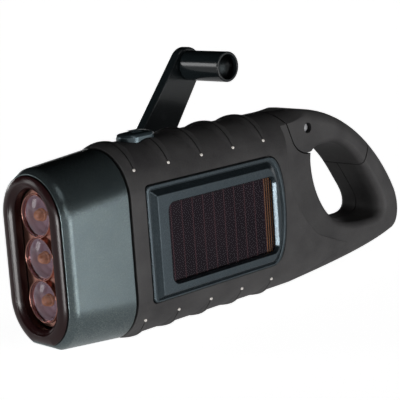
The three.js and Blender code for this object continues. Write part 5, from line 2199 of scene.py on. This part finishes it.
    def build(self, dresser: Dresser) -> None:
        """Builds and dresses the crank's pieces, each on its own body.

        Args:
            dresser: Finishes the pieces.
        """
        dome = self.dome()
        dresser.piece("crank_dome_moulded", dome, Slot.RUBBERISED_SHELL, replaces=["crank_dome"])
        half = self.eye_width / 2 + self.ear_width
        for name, solid, slot, body, node in (
            ("crank_hub_moulded", self.hub_piece(), Slot.GLOSS_BLACK, "crank", "crank_hub"),
            ("crank_hinge_pin_turned", self.along_z(self.pin, -half, half), Slot.STEEL, "crank",
             "crank_hinge_pin"),
            ("crank_arm_moulded", self.arm(), Slot.GLOSS_BLACK, "arm", "crank_arm"),
            ("knob_pin_turned", self.pin_piece(), Extra.BLACK_OXIDE, "arm", "knob_pin"),
            ("crank_knob_moulded", self.knob_piece(), Slot.GLOSS_BLACK, "knob", "crank_knob"),
        ):  # fmt: skip
            dresser.piece(name, self.raised(solid), slot, body, [node])


@dataclass(frozen=True)
class Fasteners:
    """Steel screws of the housing and the gate's pin.

    Attributes:
        head_round: Height of the head's domed part.
        recess: Half the length and half the width of a slot of the cross.
        recess_depth: Depth of the cross.
        pin_recess: How far the gate's pin ends inside the tail's faces.
    """

    housing: Housing
    shank: float = 1.2
    tip_y: float = -6
    tip: float = 0.6
    head: float = 2.3
    head_height: float = 1.6
    head_round: float = 0.5
    recess: tuple[float, float] = (1.3, 0.28)
    recess_depth: float = 0.9
    pin_recess: float = 1.2
    pin_edge: float = 0.3

    def screw(self, x: float, z: float, face: float) -> Solid:
        """Makes a screw with a domed head and a plain cross recess.

        Args:
            x: X of the screw.
            z: Z of the screw.
            face: Y of its head's outer face.

        Returns:
            The solid.
        """
        seat, rim = face - self.head_height, face - self.head_round
        turn = np.linspace(0, math.pi / 2, 8)[:-1]
        dome = [(self.head * math.cos(a), rim + self.head_round * math.sin(a)) for a in turn]
        foot = [(0, self.tip_y), (self.shank, self.tip_y + self.tip), (self.shank, seat)]
        made = Solid.turned([*foot, (self.head, seat), *dome, (0, face)], x, z, steps=48)
        low, high = face - self.recess_depth, face + 1
        slots = [
            Solid.block((x - a, low, z - b), (x + a, high, z + b))
            for a, b in (self.recess, self.recess[::-1])
        ]
        return made.cut(*slots)

    def build(self, dresser: Dresser) -> None:
        """Builds and dresses the screws and the pin.

        Args:
            dresser: Finishes the pieces.
        """
        for i, place in enumerate(self.housing.screw_places(), 1):
            node = f"housing_screw_{i}"
            dresser.piece(f"{node}_plated", self.screw(*place), Slot.STEEL, replaces=[node])
        half = self.housing.grip.tail_half - self.pin_recess
        radius, edge = self.housing.pin_radius, self.pin_edge
        ends = [(0, -half), (radius - edge, -half), (radius, edge - half)]
        profile = [*ends, *[(r, -y) for r, y in reversed(ends)]]
        pin = Solid.turned(profile, *self.housing.pivot, steps=48)
        dresser.piece("gate_pin_turned", pin, Slot.STEEL, replaces=["gate_pin"])


@dataclass(frozen=True)
class Inside:
    """What sits inside the housing and stays as CAD made it, with its real finishes.

    Attributes:
        finishes: Names of the CAD nodes that have each finish.
    """

    finishes: tuple[tuple[Slot, tuple[str, ...]], ...] = (
        (Slot.GEAR_PLASTIC, ("gear_plate", "crank_gear", "first_idler", "second_idler")),
        (Slot.STEEL, ("first_idler_axle", "second_idler_axle", "crank_screw", "gate_spring")),
        (Slot.STEEL, ("rotor", "power_switch", "button_cell_1", "button_cell_2", "button_cell_3")),
        (Slot.COPPER, ("stator",)),
        (Slot.CIRCUIT_BOARD, ("main_board", "switch_board")),
        (Slot.GLOSS_BLACK, ("battery_holder",)),
    )

    def build(self, dresser: Dresser, nodes: Nodes) -> None:
        """Gives each kept node its material.

        Args:
            dresser: Finishes the pieces.
            nodes: The CAD nodes by name.
        """
        for slot, names in self.finishes:
            for name in names:
                dresser.keep(nodes, name, slot)


@dataclass(frozen=True)
class Studio:
    """White floor, soft lamps and the camera at the photograph's viewing angle.

    Attributes:
        azimuth_deg: Direction that the camera stands in, about Z.
        lens_mm: Focal length on a sensor as wide as sensor_mm.
        slide_mm: Shift of the aimed point, right and up in the picture.
        aim_mm: The aimed point, in the frame.
        table: Finish of the light table that the torch stands on.
        table_drop_m: How far the table lies under the torch.
        wall_height: Sine of the elevation up to which the studio is white.
        ceiling_height: Sine of the elevation from which the ceiling is dark.
        ceiling_level: Light of the ceiling, where 1 is white.
        lamps: Name, azimuth, elevation, spread and level of each lamp.
    """

    azimuth_deg: float = -43.63
    elevation_deg: float = 11.41
    roll_deg: float = -3.96
    distance_mm: float = 427.5
    lens_mm: float = 126
    sensor_mm: float = 36
    clip_m: tuple[float, float] = (0.01, 20)
    slide_mm: tuple[float, float] = (4.29, -3.59)
    aim_mm: tuple[float, float, float] = (6.3, 0, 27.5)
    table: Finish = LightTable("white_paper_sweep", "#e6e6e6", 1.0)
    table_half_m: float = 12.0
    table_drop_m: float = 0.0002
    wall_height: float = 0.02
    ceiling_height: float = 0.12
    ceiling_level: float = 0.0
    lamps: tuple[tuple[str, float, float, float, float], ...] = (
        ("table_softbox", 20, -11, 20, 0.6),
        ("left_softbox", -82, -8, 12, 0.7),
        ("far_softbox", -137, 12, 16, 0.07),
        ("rear_softbox", 165, -6, 30, 0.3),
        ("side_softbox", -5, 12, 20, 0.05),
        ("overhead_softbox", 0, 55, 30, 0.04),
    )

    @staticmethod
    def towards(azimuth_deg: float, elevation_deg: float) -> Vector:
        """Gives the direction of an azimuth, counted from the panel's side, and an elevation."""
        a, e = math.radians(azimuth_deg), math.radians(elevation_deg)
        return Vector((math.sin(a) * math.cos(e), -math.cos(a) * math.cos(e), math.sin(e)))

    def axes(self) -> tuple[Vector, Vector, Vector]:
        """Gives the camera's right, up and backward directions.

        Returns:
            The three directions.
        """
        back = self.towards(self.azimuth_deg, self.elevation_deg)
        right = Vector((0, 0, 1)).cross(back).normalized()
        up = back.cross(right)
        roll = math.radians(self.roll_deg)
        across, along = math.cos(roll), math.sin(roll)
        return (right * across + up * along, up * across - right * along, back)

    def camera(self) -> None:
        """Makes the camera and hands it to the scene."""
        right, up, back = self.axes()
        x, y = self.slide_mm
        place = Vector(self.aim_mm) - right * x - up * y + back * self.distance_mm
        data = bpy.data.cameras.new("photo_camera")
        data.lens, data.sensor_width = self.lens_mm, self.sensor_mm
        data.clip_start, data.clip_end = self.clip_m
        made = bpy.data.objects.new("photo_camera", data)
        turned = Matrix((right, up, back)).transposed().to_4x4()
        made.matrix_world = Matrix.Translation(place * MM) @ turned
        bpy.context.scene.collection.objects.link(made)
        bpy.context.scene.camera = made

    def sun(
        self, name: str, azimuth_deg: float, elevation_deg: float, spread_deg: float, level: float
    ) -> None:
        """Makes an even soft lamp that is far away.

        Args:
            name: Name of the lamp.
            azimuth_deg: Where it stands, counted as the camera's azimuth is.
            elevation_deg: How far above level it stands.
            spread_deg: How wide it looks, which softens its shadows.
            level: Light on a white card that faces it, where 1 is white.
        """
        data = bpy.data.lights.new(name, "SUN")
        data.energy, data.angle = level * math.pi, math.radians(spread_deg)
        made = bpy.data.objects.new(name, data)
        back = self.towards(azimuth_deg, elevation_deg)
        made.matrix_world = back.to_track_quat("Z", "Y").to_matrix().to_4x4()
        bpy.context.scene.collection.objects.link(made)

    def floor(self) -> None:
        """Makes a wide white light table that keeps the torch's shadow."""
        half, drop = self.table_half_m, self.table_drop_m
        mesh = bpy.data.meshes.new("floor")
        corners = [(-half, -half), (half, -half), (half, half), (-half, half)]
        mesh.from_pydata([(x, y, -drop) for x, y in corners], [], [(0, 1, 2, 3)])
        mesh.materials.append(self.table.build())
        made = bpy.data.objects.new("floor", mesh)
        bpy.context.scene.collection.objects.link(made)
        made.visible_shadow = False

    def world(self) -> None:
        """Lights from the walls all round and leaves the ceiling dark."""
        world = bpy.data.worlds.new("studio")
        world.use_nodes = True
        graph = Graph(world.node_tree)
        graph.tree.nodes.clear()
        place = graph.add("ShaderNodeTexCoord", output="Generated")
        height = graph.add("ShaderNodeSeparateXYZ", {"Vector": place}, output="Z")
        fall = {"From Min": self.wall_height, "From Max": self.ceiling_height}
        fall |= {"Value": height, "To Min": 1.0, "To Max": self.ceiling_level}
        light = graph.add("ShaderNodeMapRange", fall, interpolation_type="SMOOTHSTEP")
        inputs = {"Color": linear(WHITE), "Strength": light}
        soft = graph.add("ShaderNodeBackground", inputs)
        graph.set(graph.tree.nodes.new("ShaderNodeOutputWorld"), {"Surface": soft})
        bpy.context.scene.world = world

    def build(self) -> None:
        """Sets up the whole studio."""
        self.camera()
        self.floor()
        self.world()
        for lamp in self.lamps:
            self.sun(*lamp)
        bpy.context.scene.view_settings.view_transform = "Standard"


def main() -> None:
    """Builds the studio and every sub-assembly."""
    logging.basicConfig(level=logging.INFO, format="%(name)s: %(message)s")
    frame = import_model()
    nodes = frame["nodes"]
    Studio().build()
    grip = Grip()
    panel, button, head = SolarPanel(), PowerButton(), Head(grip)
    housing = Housing(grip)
    dresser = Dresser()
    housing.build(dresser, panel, button)
    head.build(dresser)
    Lamps(head).build(dresser, nodes)
    panel.build(dresser)
    button.build(dresser)
    Crank(grip).build(dresser)
    Fasteners(housing).build(dresser)
    Inside().build(dresser, nodes)
    LOG.info("%d pieces made", len(dresser.pieces))


if __name__ == "__main__":
    main()
